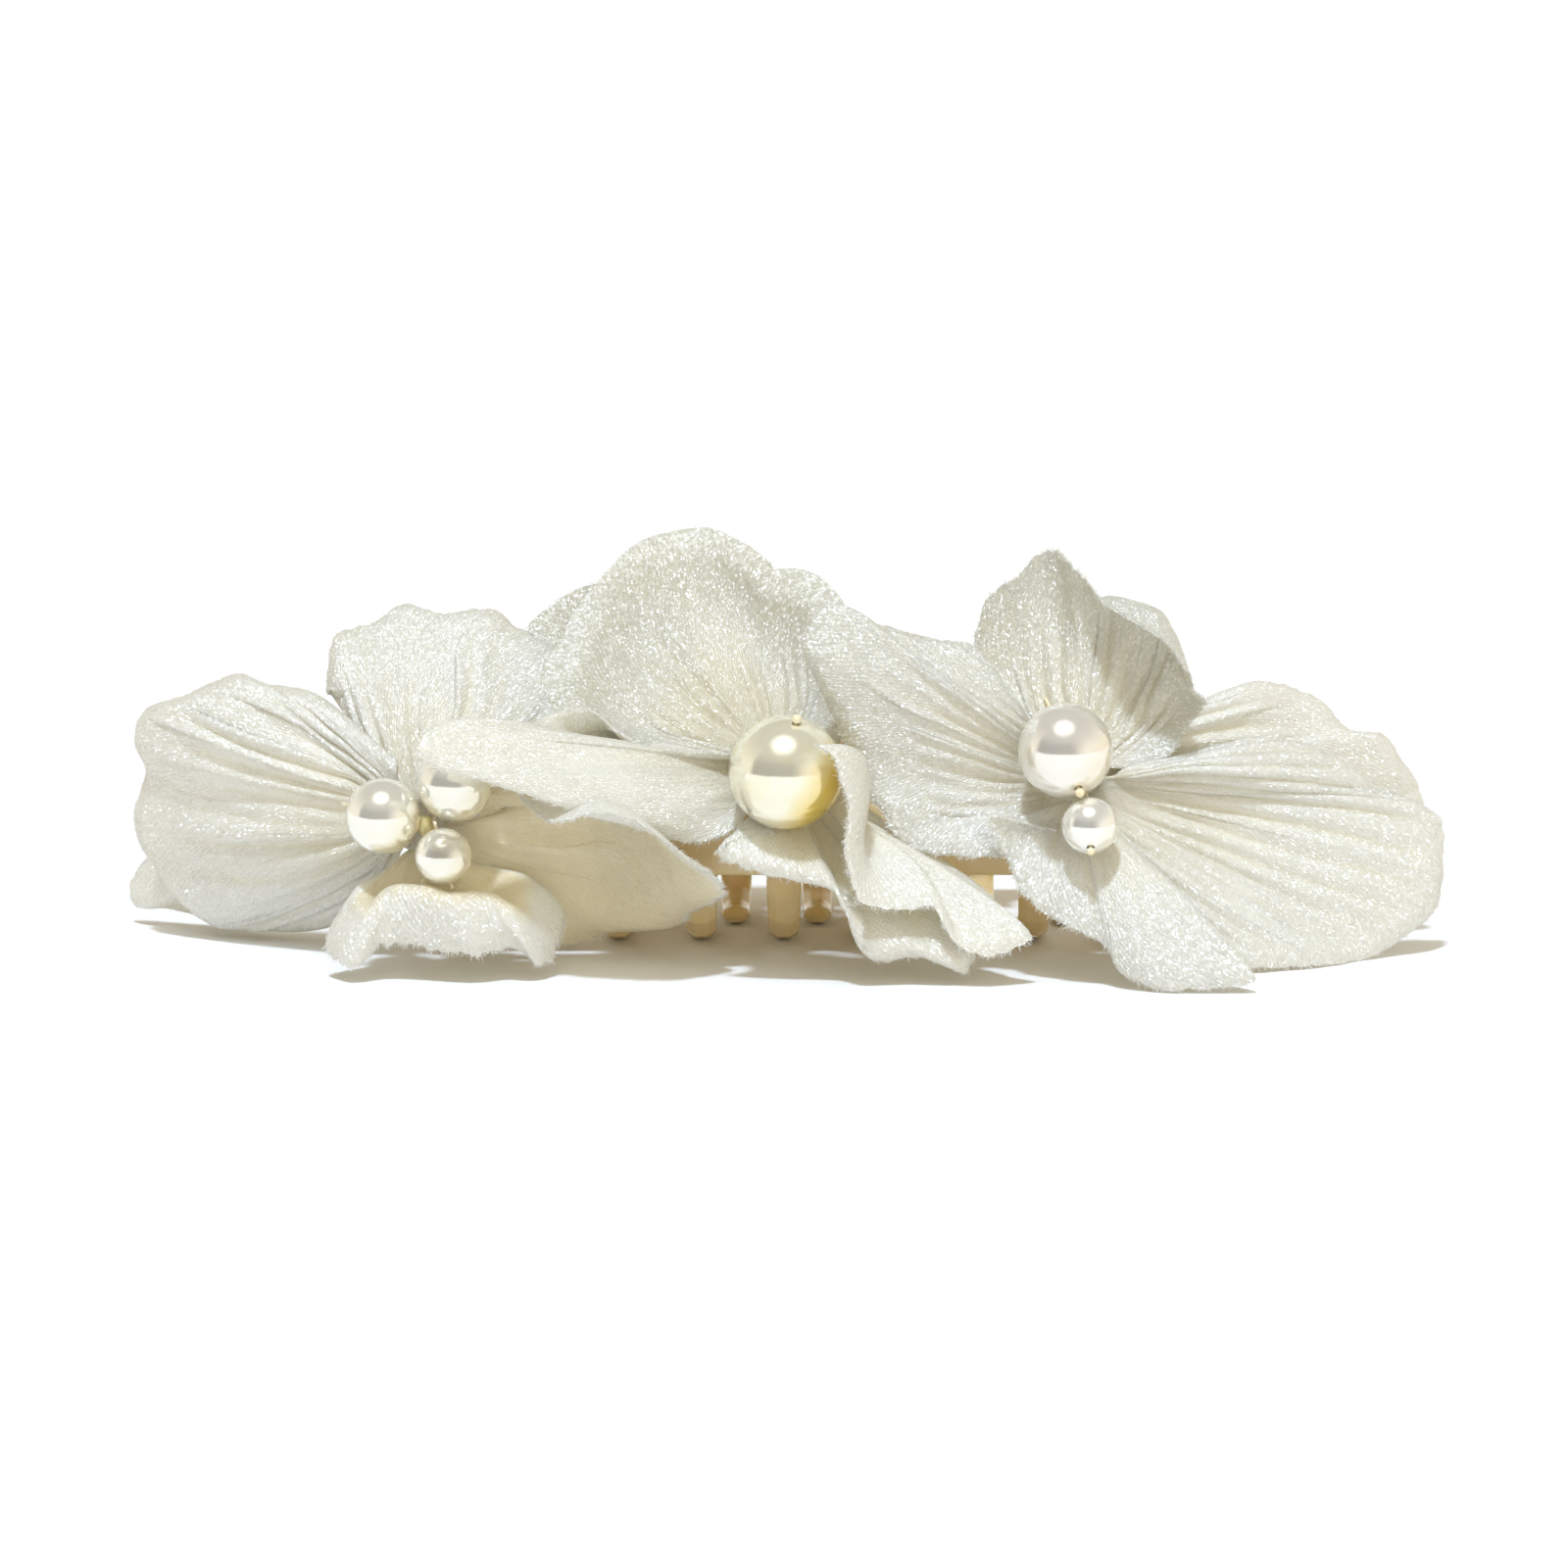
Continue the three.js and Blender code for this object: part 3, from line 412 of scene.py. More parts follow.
def rod(name, points, radii, sides):
    """A tube along points, closed by a small ring at each end."""
    p = np.asarray(points, float)
    r = np.broadcast_to(radii, len(p)).astype(float)
    ahead = unit(np.gradient(p, axis=0))
    caps = [(0.0, 0.02), (0.3, 0.75)]
    head = [(p[0] + ahead[0] * r[0] * (share - 0.3), r[0] * size) for share, size in caps]
    tail = [(p[-1] - ahead[-1] * r[-1] * (share - 0.3), r[-1] * size) for share, size in reversed(caps)]
    line = np.array([c for c, _ in head] + list(p[1:-1]) + [c for c, _ in tail])
    size = np.array([s for _, s in head] + list(r[1:-1]) + [s for _, s in tail])
    return mesh_object(name, tube(line, size, sides), tube_faces(len(line), sides))


def lathe(name, profile, sides):
    """A turned piece from (radius, height) pairs; its axis is Z. A closed profile makes a ring."""
    turn = 2 * np.pi * np.arange(sides) / sides
    rings = [np.stack([r * np.cos(turn), r * np.sin(turn), np.full(sides, z)], 1) for r, z in profile]
    return mesh_object(name, np.concatenate(rings), tube_faces(len(profile), sides))


def aim(obj, centre, axis):
    """Turns an object's Z to axis and puts it at centre, in mm, in its mesh."""
    turn = Vector((0, 0, 1)).rotation_difference(Vector(axis).normalized()).to_matrix().to_4x4()
    obj.data.transform(Matrix.Translation(Vector(centre) * MM) @ turn)
    return obj


def moulded(name, node, voxel, passes):
    """A copy of a CAD node with its edges rounded as a mould leaves them."""
    obj = bpy.data.objects.new(name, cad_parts[node].data.copy())
    bpy.context.scene.collection.objects.link(obj)
    remesh = obj.modifiers.new("remesh", "REMESH")
    remesh.mode = "VOXEL"
    remesh.voxel_size = voxel * MM
    remesh.use_smooth_shade = True
    smooth = obj.modifiers.new("smooth", "SMOOTH")
    smooth.factor = 0.5
    smooth.iterations = passes
    depsgraph = bpy.context.evaluated_depsgraph_get()
    mesh = bpy.data.meshes.new_from_object(obj.evaluated_get(depsgraph))
    obj.modifiers.clear()
    obj.data = mesh
    return obj


# ---- Materials ----
class Nodes:
    """Short calls for making the nodes of a tree."""

    def __init__(self, owner):
        owner.use_nodes = True
        self.tree = owner.node_tree

    def node(self, kind, **values):
        made = self.tree.nodes.new(kind)
        for key, value in values.items():
            if hasattr(made, key):
                setattr(made, key, value)
            else:
                self.put(made.inputs[key.replace("_", " ").title()], value)
        return made

    def put(self, socket, value):
        if isinstance(value, bpy.types.NodeSocket):
            self.tree.links.new(value, socket)
        else:
            socket.default_value = value

    def math(self, operation, a, b, clamp=False):
        n = self.node("ShaderNodeMath", operation=operation, use_clamp=clamp)
        self.put(n.inputs[0], a)
        self.put(n.inputs[1], b)
        return n.outputs[0]

    def vector_math(self, operation, a, b=None):
        n = self.node("ShaderNodeVectorMath", operation=operation)
        self.put(n.inputs[0], a)
        if b is not None:
            self.put(n.inputs[1], b)
        return n.outputs["Value" if operation == "DOT_PRODUCT" else "Vector"]

    def split(self, vector):
        n = self.node("ShaderNodeSeparateXYZ")
        self.put(n.inputs[0], vector)
        return n.outputs

    def ramp(self, value, low, high, start=0.0, end=1.0, kind="LINEAR"):
        n = self.node("ShaderNodeMapRange", interpolation_type=kind)
        for socket, v in zip(("Value", "From Min", "From Max", "To Min", "To Max"), (value, low, high, start, end)):
            self.put(n.inputs[socket], v)
        return n.outputs[0]

    def mix(self, share, a, b, kind="MIX"):
        n = self.node("ShaderNodeMix", data_type="RGBA", blend_type=kind)
        self.put(n.inputs[0], share)
        self.put(n.inputs[6], (*a, 1) if isinstance(a, tuple) else a)
        self.put(n.inputs[7], (*b, 1) if isinstance(b, tuple) else b)
        return n.outputs[2]


class Look(Nodes):
    """A node material with its main shader, and short calls for the textures in front of it."""

    def __init__(self, name):
        self.material = bpy.data.materials.new(name)
        super().__init__(self.material)
        self.shader = self.tree.nodes["Principled BSDF"]
        self.output = self.tree.nodes["Material Output"]
        self.place = self.node("ShaderNodeTexCoord").outputs["Object"]

    def set(self, **values):
        """Sets the main shader's sockets, by name with _ for spaces."""
        for key, value in values.items():
            names = {i.name.lower().replace(" ", "_"): i for i in self.shader.inputs}
            self.put(names[key], value)

    def uv(self, title):
        return self.node("ShaderNodeUVMap", uv_map=title).outputs[0]

    def noise(self, scale, detail=2.0, rough=0.5, at=None, distortion=0.0):
        """A noise value with scale features in a millimetre."""
        n = self.node("ShaderNodeTexNoise", scale=scale / MM, detail=detail, roughness=rough, distortion=distortion)
        self.put(n.inputs["Vector"], at or self.place)
        return n.outputs["Fac"]

    def bump(self, height, distance, strength=1.0, below=None):
        n = self.node("ShaderNodeBump", strength=strength, distance=distance * MM)
        self.put(n.inputs["Height"], height)
        if below is not None:
            self.put(n.inputs["Normal"], below)
        return n.outputs["Normal"]

    def let_through(self, share, colour, normal):
        """Lets a share of the light pass a thin sheet, tinted on its way."""
        glow = self.node("ShaderNodeBsdfTranslucent")
        self.put(glow.inputs["Color"], (*colour, 1))
        self.put(glow.inputs["Normal"], normal)
        both = self.node("ShaderNodeMixShader")
        self.put(both.inputs[0], share)
        self.put(both.inputs[1], self.shader.outputs[0])
        self.put(both.inputs[2], glow.outputs[0])
        self.put(self.output.inputs["Surface"], both.outputs[0])

    def lines(self, pitch, degrees, wander, at):
        """Fine threads pitch mm apart, turned by degrees."""
        turned = self.node("ShaderNodeMapping")
        turned.inputs["Rotation"].default_value = (0, 0, math.radians(degrees))
        self.put(turned.inputs["Vector"], at)
        n = self.node("ShaderNodeTexWave", scale=math.pi / 10 / (pitch * MM), distortion=wander, detail=2.0)
        n.inputs["Detail Scale"].default_value = 1.6
        self.put(n.inputs["Vector"], turned.outputs[0])
        return n.outputs["Fac"]

    def stretched(self, *scale, at=None):
        n = self.node("ShaderNodeMapping")
        n.inputs["Scale"].default_value = scale
        self.put(n.inputs["Vector"], at or self.place)
        return n.outputs[0]


# Painted shade and light on the velvet: cream tan in furrows, by necks and in cups, grey where a petal is dimmed; a
# painted dark reflection on the satin and painted white glints.
PAINTED_FURROW_SHADE = (0.90, 0.855, 0.67)
PAINTED_NECK_SHADE = (0.97, 0.895, 0.66)
PAINTED_CUP_SHADE = (1.0, 0.90, 0.65)
PAINTED_GREY_SHADE = (0.78, 0.79, 0.77)
PAINTED_DARK_REFLECTION = (0.84, 0.845, 0.835)
PAINTED_GLINT_WHITE = (1.0, 1.0, 0.99)


def velvet(name, white, cream, shine):
    """Pressed velvet: matt pile over a fine twill, with painted cream shade in its furrows, by its neck and deep in
    its cups, painted grey shade where it is dimmed, and satin patches whose facets glint, greyed by a painted dark
    reflection, with painted white glints on a few facets."""
    look = Look(name)
    cut = look.uv("ribs")
    furrow, rim, _ = look.split(look.uv("press"))
    # the cloth's painted tan shade for the cups and its painted grey shade
    warm, painted_grey_gloss_share, _ = look.split(look.uv("painted_shades"))
    patches = look.noise(0.11, 3, 0.6, distortion=0.4)
    pile = look.noise(4.2, 3, 0.65)
    streaks = look.noise(0.8, 2, 0.5, look.stretched(2.2, 0.3, 1, at=cut))
    weave = look.lines(0.5, 33, 2.6, cut)
    colour = look.mix(look.ramp(patches, 0.35, 0.65), white, cream)
    # painted shade: cream tan in the pleats' furrows
    colour = look.mix(look.ramp(furrow, -0.1, -0.9, 0.0, 0.6), colour, PAINTED_FURROW_SHADE)
    # painted shade: cream tan by the neck, under the pearls
    colour = look.mix(look.ramp(rim, 0.05, 0.55, 0.85, 0.0), colour, PAINTED_NECK_SHADE)
    # painted shade: tan deep in the cups, as strong as the look's warm
    colour = look.mix(warm, colour, PAINTED_CUP_SHADE)
    # painted shade: grey where the petal is dimmed
    colour = look.mix(painted_grey_gloss_share, colour, PAINTED_GREY_SHADE, "MULTIPLY")
    fleck = look.math("MULTIPLY", look.ramp(pile, 0.3, 0.7, 0.90, 1.03), look.ramp(weave, 0.2, 0.8, 0.97, 1.01))
    colour = look.mix(1.0, colour, fleck, "MULTIPLY")
    height = look.math("ADD", look.math("MULTIPLY", pile, 0.8), look.math("MULTIPLY", weave, 0.2))
    normal = look.bump(streaks, 0.03, 0.15, look.bump(height, 0.14, 0.8))

    # the flattened pile's facets: each turns the coat its own way
    facets = look.node("ShaderNodeTexVoronoi", scale=1.0 / MM)
    look.put(facets.inputs["Vector"], look.stretched(4.8, 3.8, 1, at=cut))
    tilt = look.vector_math("SUBTRACT", facets.outputs["Color"], (0.5, 0.5, 0.2))
    lean = look.vector_math("MULTIPLY", tilt, (1.15, 1.15, 1.15))
    facing = look.vector_math("NORMALIZE", look.vector_math("ADD", normal, lean))
    gloss = look.math("ADD", look.ramp(patches, 0.34, 0.58, 0.4, 1.0), look.ramp(rim, 0.6, 1.0, 0.0, 0.7), clamp=True)
    gloss = look.math("ADD", gloss, look.ramp(furrow, 0.2, 1.0, 0.0, 0.5), clamp=True)
    gloss = look.math("ADD", gloss, look.math("MULTIPLY", painted_grey_gloss_share, 0.5), clamp=True)
    satin = look.math("MULTIPLY", gloss, shine)
    # a few of the facets get painted white glints in the base colour, fewer in the painted tan shade
    chance = look.node("ShaderNodeSeparateColor")
    look.put(chance.inputs[0], facets.outputs["Color"])
    painted_glint = look.math("MULTIPLY", look.ramp(chance.outputs[0], 0.72, 0.9), satin)
    painted_glint = look.math("MULTIPLY", painted_glint, look.ramp(warm, 0.0, 1.0, 1.0, 0.1))
    # painted reflection: the satin greyed as if it mirrored the dark room
    colour = look.mix(look.math("MULTIPLY", satin, 0.3), colour, PAINTED_DARK_REFLECTION, "MULTIPLY")
    colour = look.mix(painted_glint, colour, PAINTED_GLINT_WHITE)
    look.set(base_color=colour, roughness=0.7, metallic=look.ramp(satin, 0, 1, 0, 0.2), normal=normal)
    look.set(coat_weight=satin, coat_roughness=0.27, coat_ior=2.6, coat_normal=facing)
    look.set(specular_ior_level=0.3, sheen_weight=0.2, sheen_roughness=0.35, sheen_tint=(1, 1, 1, 1))
    look.let_through(0.3, (1.0, 0.95, 0.78), normal)
    return look.material


def fibre_look():
    """The cut pile's loose fibres."""
    look = Look("velvet_fibres")
    tone = look.noise(1.5)
    look.set(base_color=look.mix(tone, (0.95, 0.94, 0.90), (0.88, 0.85, 0.76)), roughness=0.6)
    look.set(sheen_weight=0.3, subsurface_weight=0.3, subsurface_radius=(1, 0.8, 0.5), subsurface_scale=0.3 * MM)
    return look.material


def pearl_look(name, base, painted_gold_reflection, centre, radius):
    """Pearl lacquer: a clear coat over a soft metallic layer, with a painted warm golden reflection towards the lower
    right.
    """
    look = Look(name)
    n = look.node("ShaderNodeMapping")
    n.vector_type = "TEXTURE"
    n.inputs["Location"].default_value = Vector(centre) * MM
    n.inputs["Scale"].default_value = (radius * MM,) * 3
    look.put(n.inputs["Vector"], look.place)
    x, _, z = look.split(n.outputs[0])
    # painted reflection: golden towards the lower right, with a cloudy random tone
    lean = look.math("SUBTRACT", look.math("MULTIPLY", x, 0.85), look.math("MULTIPLY", z, 0.5))
    cloudy = look.noise(0.35, 3)
    warm = look.math("ADD", look.ramp(lean, 0.22, 0.68), look.ramp(cloudy, 0.3, 0.7, -0.12, 0.12), clamp=True)
    colour = look.mix(warm, base, painted_gold_reflection)
    look.set(base_color=colour, metallic=0.62, roughness=look.ramp(cloudy, 0.3, 0.7, 0.08, 0.13))
    look.set(coat_weight=0.5, coat_roughness=0.04, coat_ior=1.5)
    look.set(normal=look.bump(look.noise(0.55, 3), 0.045, 0.5))
    return look.material


def ivory_look():
    """Glossy, slightly see-through moulded plastic with faint flow marks."""
    look = Look("ivory_plastic")
    flow = look.noise(0.12, 3, 0.5, distortion=0.6)
    grain = look.noise(3.0, 2)
    # the plastic's own ivory tone, made darker and tanner with painted shade; flow marks vary it at random
    colour = look.mix(look.ramp(flow, 0.3, 0.7), (0.80, 0.66, 0.38), (0.74, 0.57, 0.29))
    look.set(base_color=colour, roughness=look.ramp(grain, 0.3, 0.7, 0.16, 0.28), ior=1.5)
    look.set(subsurface_weight=0.75, subsurface_radius=(1, 0.72, 0.36), subsurface_scale=2.2 * MM)
    look.set(coat_weight=0.35, coat_roughness=0.05)
    look.set(normal=look.bump(flow, 0.25, 0.35, look.bump(grain, 0.01, 0.5)))
    return look.material


def steel_look():
    """Bright drawn wire with fine scratches."""
    look = Look("drawn_steel")
    scratch = look.noise(1.2, 4, 0.6, look.stretched(0.3, 6, 6))
    tone = look.mix(look.ramp(scratch, 0.35, 0.65), (0.66, 0.66, 0.67), (0.80, 0.80, 0.80))
    look.set(base_color=tone, metallic=1.0, roughness=look.ramp(scratch, 0.3, 0.7, 0.18, 0.36))
    look.set(normal=look.bump(scratch, 0.01, 0.5))
    return look.material


def felt_look():
    """Matt pressed felt."""
    look = Look("cream_felt")
    wool = look.noise(2.2, 4, 0.65, distortion=1.5)
    colour = look.mix(look.ramp(wool, 0.3, 0.7), (0.80, 0.77, 0.67), (0.90, 0.88, 0.80))
    look.set(base_color=colour, roughness=0.95, sheen_weight=0.4, sheen_roughness=0.5)
    look.set(normal=look.bump(wool, 0.25, 0.9))
    return look.material


def glue_look():
    """Clear amber hot glue."""
    look = Look("amber_glue")
    cloud = look.noise(0.6, 3)
    look.set(base_color=look.mix(cloud, (0.87, 0.68, 0.30), (0.93, 0.80, 0.48)), roughness=0.12, ior=1.48)
    look.set(subsurface_weight=0.5, subsurface_radius=(1, 0.6, 0.2), subsurface_scale=1.5 * MM)
    look.set(transmission_weight=0.35, normal=look.bump(cloud, 0.2, 0.4))
    return look.material


def thread_look():
    """Golden nylon line, with melted ends."""
    look = Look("golden_line")
    tone = look.noise(2.0, 3)
    look.set(base_color=look.mix(tone, (0.80, 0.68, 0.44), (0.90, 0.82, 0.62)), roughness=0.22)
    look.set(subsurface_weight=0.4, subsurface_radius=(1, 0.7, 0.4), subsurface_scale=0.6 * MM)
    look.set(normal=look.bump(tone, 0.05, 0.5))
    return look.material


def floor_look():
    look = Look("pale_floor")
    tone = look.noise(0.02, 2)
    look.set(base_color=look.mix(tone, (0.92, 0.92, 0.92), (0.93, 0.93, 0.93)), roughness=0.9)
    look.set(specular_ior_level=0.0)
    return look.material


# ---- Petals ----
def rib_shares(steps):
    """Steps from a petal's neck to its margin, closer together towards the margin."""
    return 1 - (1 - np.linspace(0, 1, steps + 1)) ** 1.5


def petal_ribs(petal, facing, rib_steps, margin_steps):
    """The petal's middle surface as the CAD has it: points [rib step, margin step], and its front's direction."""
    margin = np.array([row[:3] for row in petal["margin"]], float)
    bellies = np.array([row[3] for row in petal["margin"]], float)
    middle = margin.mean(0)
    outward = unit(middle - facing * (middle @ facing))
    neck = outward * petal.get("ring", NECK_RING) + facing * NECK_LAYER * (1 + petal["layer"])
    spokes = margin - neck
    normal = unit(np.cross(spokes, np.roll(spokes, -1, 0)).sum(0))
    front = normal if normal @ facing > 0 else -normal
    bow = unit(petal["bow"]) if "bow" in petal else front
    across = margin[-1] - margin[0]
    across = unit(across - facing * (across @ facing))

    dense = np.linspace(0, 1, 1201)
    line = catmull_rom(margin, dense, True)
    length = np.concatenate([[0], np.cumsum(np.linalg.norm(np.diff(line, axis=0), axis=1))])
    k = np.linspace(0, 1, margin_steps + 1)
    t = np.interp(k * length[-1], length, dense)
    rim = catmull_rom(margin, t, True)
    root = neck + across * (NECK_HALF_WIDTH * (2 * k - 1))[:, None]
    late = petal.get("late", 1)
    peak = late / (late + 1)
    scale = peak**late * (1 - peak)
    u = rib_shares(rib_steps)[:, None, None]
    reach = catmull_rom(bellies, t, False)[None, :, None] * u**late * (1 - u) / scale
    return root * (1 - u) + rim * u + bow * reach, front, length[-1]


def surface_normals(grid, front):
    down = np.gradient(grid, axis=0)
    over = np.gradient(grid, axis=1)
    normals = unit(np.cross(down, over))
    if (normals.reshape(-1, 3).mean(0) @ front) < 0:
        normals = -normals
    return normals


def pressed_petal(petal, facing, look, seed):
    """The petal's fine middle surface with its pleats, ruffles and rolled margin; the front's normals; how far each
    point is on a pleat's ridge (to 1) or in its furrow (to -1); and the flat cut."""
    columns = int(90 + 17.6 * len(petal["margin"]))
    grid, front, rim_length = petal_ribs(petal, facing, RIB_STEPS, columns)
    u = rib_shares(RIB_STEPS)[:, None]
    t = np.linspace(0, 1, columns + 1)[None, :]
    for _ in range(EVENING_PASSES):  # evens out neighbouring ribs away from the margin
        inner = grid[:, 1:-1]
        mean = (grid[:, :-2] + grid[:, 2:]) / 2
        grid[:, 1:-1] = inner + (mean - inner) * smoothstep(1.0, 0.8, u)[..., None]
    for t0, u0, wide, high, push in look["bends"]:
        share = np.exp(-(((t - t0) / wide) ** 2) - ((u - u0) / high) ** 2) * smoothstep(0, 0.35, u)
        grid = grid + share[..., None] * np.array(push, float)
    normals = surface_normals(grid, front)
    flat = flat_cut(grid)

    # pleats, each with its own reach and depth
    pitch = rim_length / look["ribs"]
    share = 0.42 + 0.58 * u
    wander = 0.3 * noise(t * 7, u * 2.5, seed) + 0.1 * noise(t * 24, u * 5, seed + 1)
    phase = (t - 0.5) * rim_length * share / pitch + wander
    each = noise(np.round(phase) * 0.73, u * 0.6, seed + 2)
    ends = look["reach"] * (1 + 0.25 * each)
    fade = smoothstep(0.08, 0.26, u) * (1 - smoothstep(ends - 0.3, ends, u)) * (0.75 + 0.45 * each)
    sides = smoothstep(0.02, 0.14, t) * smoothstep(0.98, 0.86, t)
    depth = np.minimum(look["deep"], 0.42 * pitch * u / share)
    ridge = (0.5 - 0.5 * np.cos(2 * np.pi * phase)) ** 0.9
    lift = ridge * depth * fade * sides
    furrow = (2 * ridge - 1) * np.clip(fade * sides, 0, 1) * smoothstep(0, 0.4, depth)

    # ruffles, from slow to fine, and the rolled margin
    lift = lift + look["ruffle"] * u**3 * noise(t * rim_length / 9 + 3, u * 1.6, seed + 3)
    lift = lift + 0.4 * look["ruffle"] * u**6 * noise(t * rim_length / 3.2, u * 2, seed + 4)
    lift = lift + 0.04 * smoothstep(0.15, 0.5, u) * noise(t * rim_length / 1.4, u * 14, seed + 5)
    rib_length = np.linalg.norm(np.diff(grid, axis=0), axis=2).sum(0)[None, :]
    turned = np.clip(1 - (1 - u) * rib_length / look["band"], 0, 1)
    roll = look["curl"] * (0.75 + 0.5 * noise(t * rim_length / 12, 0.0, seed + 6))
    lift = lift - roll * turned**2
    for t0, u0, wide, high, push in look["dents"]:
        lift = lift + push * np.exp(-(((t - t0) / wide) ** 2) - ((u - u0) / high) ** 2)
    grid = grid + normals * lift[..., None]

    # the ragged cut edge
    outward = unit(grid[-1] - grid[-9])
    jag = 0.2 * noise(t[0] * rim_length / 0.9, 0.0, seed + 7) + 0.12 * noise(t[0] * rim_length / 0.45, 0.0, seed + 8)
    grid = grid + (u**14 * jag * look["fray"])[..., None] * outward[None]
    return grid, surface_normals(grid, front), furrow, flat


def cloth(name, grid, normals, furrow, look):
    """A closed thin sheet about a grid of points, thinner at its cut edges. Its maps are ribs, the place on the flat
    cut; press, the pleats' ridges and the share of the way to the margin; and painted_shades, how much painted tan
    shade and how much painted grey shade, which also adds gloss."""
    rows, columns = grid.shape[:2]
    u = rib_shares(rows - 1)[:, None]
    t = np.linspace(0, 1, columns)[None, :]
    edge = np.maximum(smoothstep(0.97, 1, u), np.maximum(smoothstep(0.012, 0, t), smoothstep(0.988, 1, t)))
    half = (SHEET_THICKNESS / 2 * (1 - 0.45 * edge))[..., None]
    points = np.concatenate([(grid + normals * half).reshape(-1, 3), (grid - normals * half).reshape(-1, 3)])
    at = np.arange(rows * columns).reshape(rows, columns)
    quads = np.stack([at[:-1, :-1], at[1:, :-1], at[1:, 1:], at[:-1, 1:]], -1).reshape(-1, 4)
    back = quads[:, ::-1] + rows * columns
    ring = np.concatenate([at[0, :-1], at[:-1, -1], at[-1, :0:-1], at[:0:-1, 0]])
    after = np.roll(ring, -1)
    rim = np.stack([ring, after, after + rows * columns, ring + rows * columns], 1)
    faces = np.concatenate([quads, back, rim])
    along = np.linalg.norm(np.diff(grid, axis=0), axis=2).cumsum(0)
    along = np.concatenate([np.zeros((1, columns)), along])
    over = np.linalg.norm(np.diff(grid[-12], axis=0), axis=1).cumsum()
    over = np.broadcast_to(np.concatenate([[0], over])[None], (rows, columns))
    ribs = np.stack([over, along], -1).reshape(-1, 2) * MM
    press = np.stack(np.broadcast_arrays(furrow, u), -1).reshape(-1, 2)
    to_rim = np.linalg.norm(grid[-1:] - grid, axis=-1)
    # painted shade: tan from brim mm in from the margin, and grey, stronger towards the margin
    brim = look["brim"] + (look.get("low_brim", look["brim"]) - look["brim"]) * smoothstep(0.4, 0.5, t)
    painted_tan_shade = look["warm"] * smoothstep(0, look["melt"], to_rim - brim + 1)
    painted_grey_gloss_share = look["painted_grey_gloss"] * (0.4 + 0.6 * smoothstep(0.35, 0.85, u)) * np.ones_like(t)
    painted_shades = np.stack([painted_tan_shade, painted_grey_gloss_share], -1).reshape(-1, 2)
    maps = {"ribs": (ribs, ribs), "press": (press, press * (-1, 1)), "painted_shades": (painted_shades, painted_shades * (0, 1))}
    return mesh_object(name, points, faces, **{title: np.concatenate(pair) for title, pair in maps.items()})


def flat_cut(grid):
    """The width, length and area of the cloth laid flat, rib beside rib, in metres."""
    spokes = grid[-1] - grid[0]
    lengths = np.linalg.norm(np.diff(grid, axis=0), axis=2).sum(0)
    chords = np.linalg.norm(np.diff(grid[-1], axis=0), axis=1)
    a, b = lengths[:-1], lengths[1:]
    cosine = np.clip((a * a + b * b - chords * chords) / (2 * a * b), -1, 1)
    turn = np.concatenate([[0], np.cumsum(np.arccos(cosine))])
    turn = turn - turn[np.argmax(lengths)]
    x, y = lengths * np.sin(turn), lengths * np.cos(turn)
    width, length = float(np.ptp(np.append(x, 0))), float(np.ptp(np.append(y, 0)))
    area = 0.5 * float(abs((x[:-1] * y[1:] - x[1:] * y[:-1]).sum()))
    return max(width, 10) * MM, length * MM, area * MM * MM


FIBRE_PITCH = 0.09
FIBRE_LENGTHS = (0.2, 0.6)
LONG_FIBRES = 0.02  # the share of fibres that stand out,
LONG_FIBRE_SCALE = 2.2  # and how much longer they are
FIBRE_RADII = (0.022, 0.036)
FIBRE_ROOT = 0.12


def fray(name, petals, rng):
    """Loose fibres of the cut pile along the petals' margins, each a fine three-sided thread. A petal is its grid,
    its front's normals and how ragged it is."""
    points, faces = [], []
    for grid, normals, ragged in petals:
        rim, inner = grid[-1], grid[-8]
        outward = unit(rim - inner)
        step = np.linalg.norm(np.diff(rim, axis=0), axis=1)
        count = int(step.sum() * ragged / FIBRE_PITCH)
        for s in rng.uniform(0, len(rim) - 1.001, count):
            i, f = int(s), s - int(s)
            root = rim[i] * (1 - f) + rim[i + 1] * f
            out, up = outward[i], normals[-1, i]
            side = np.cross(out, up)
            lean = rng.normal(0, 0.55, 2)
            way = unit(out + side * lean[0] + up * lean[1])
            long = rng.uniform(*FIBRE_LENGTHS) * (LONG_FIBRE_SCALE if rng.uniform() < LONG_FIBRES else 1)
            bend = unit(rng.normal(0, 1, 3)) * long * rng.uniform(0.1, 0.45)
            root = root + up * rng.uniform(-FIBRE_ROOT, FIBRE_ROOT) - out * FIBRE_ROOT
            half_way = root + way * (FIBRE_ROOT + long * 0.5) + bend * 0.3
            line = [root, half_way, root + way * (FIBRE_ROOT + long) + bend]
            thin = rng.uniform(*FIBRE_RADII)
            faces.append(tube_faces(3, 3, 9 * len(points)))
            points.append(tube(line, (thin, thin * 0.85, thin * 0.4), 3))
    return mesh_object(name, np.concatenate(points), np.concatenate(faces))


VELVETS = {
    "left": velvet("velvet_left", (0.972, 0.98, 0.96), (0.962, 0.965, 0.925), 1.0),
    "center": velvet("velvet_center", (0.97, 0.972, 0.925), (0.96, 0.953, 0.88), 0.95),
    "right": velvet("velvet_right", (0.972, 0.98, 0.96), (0.962, 0.965, 0.925), 1.0),
}
FIBRES = fibre_look()

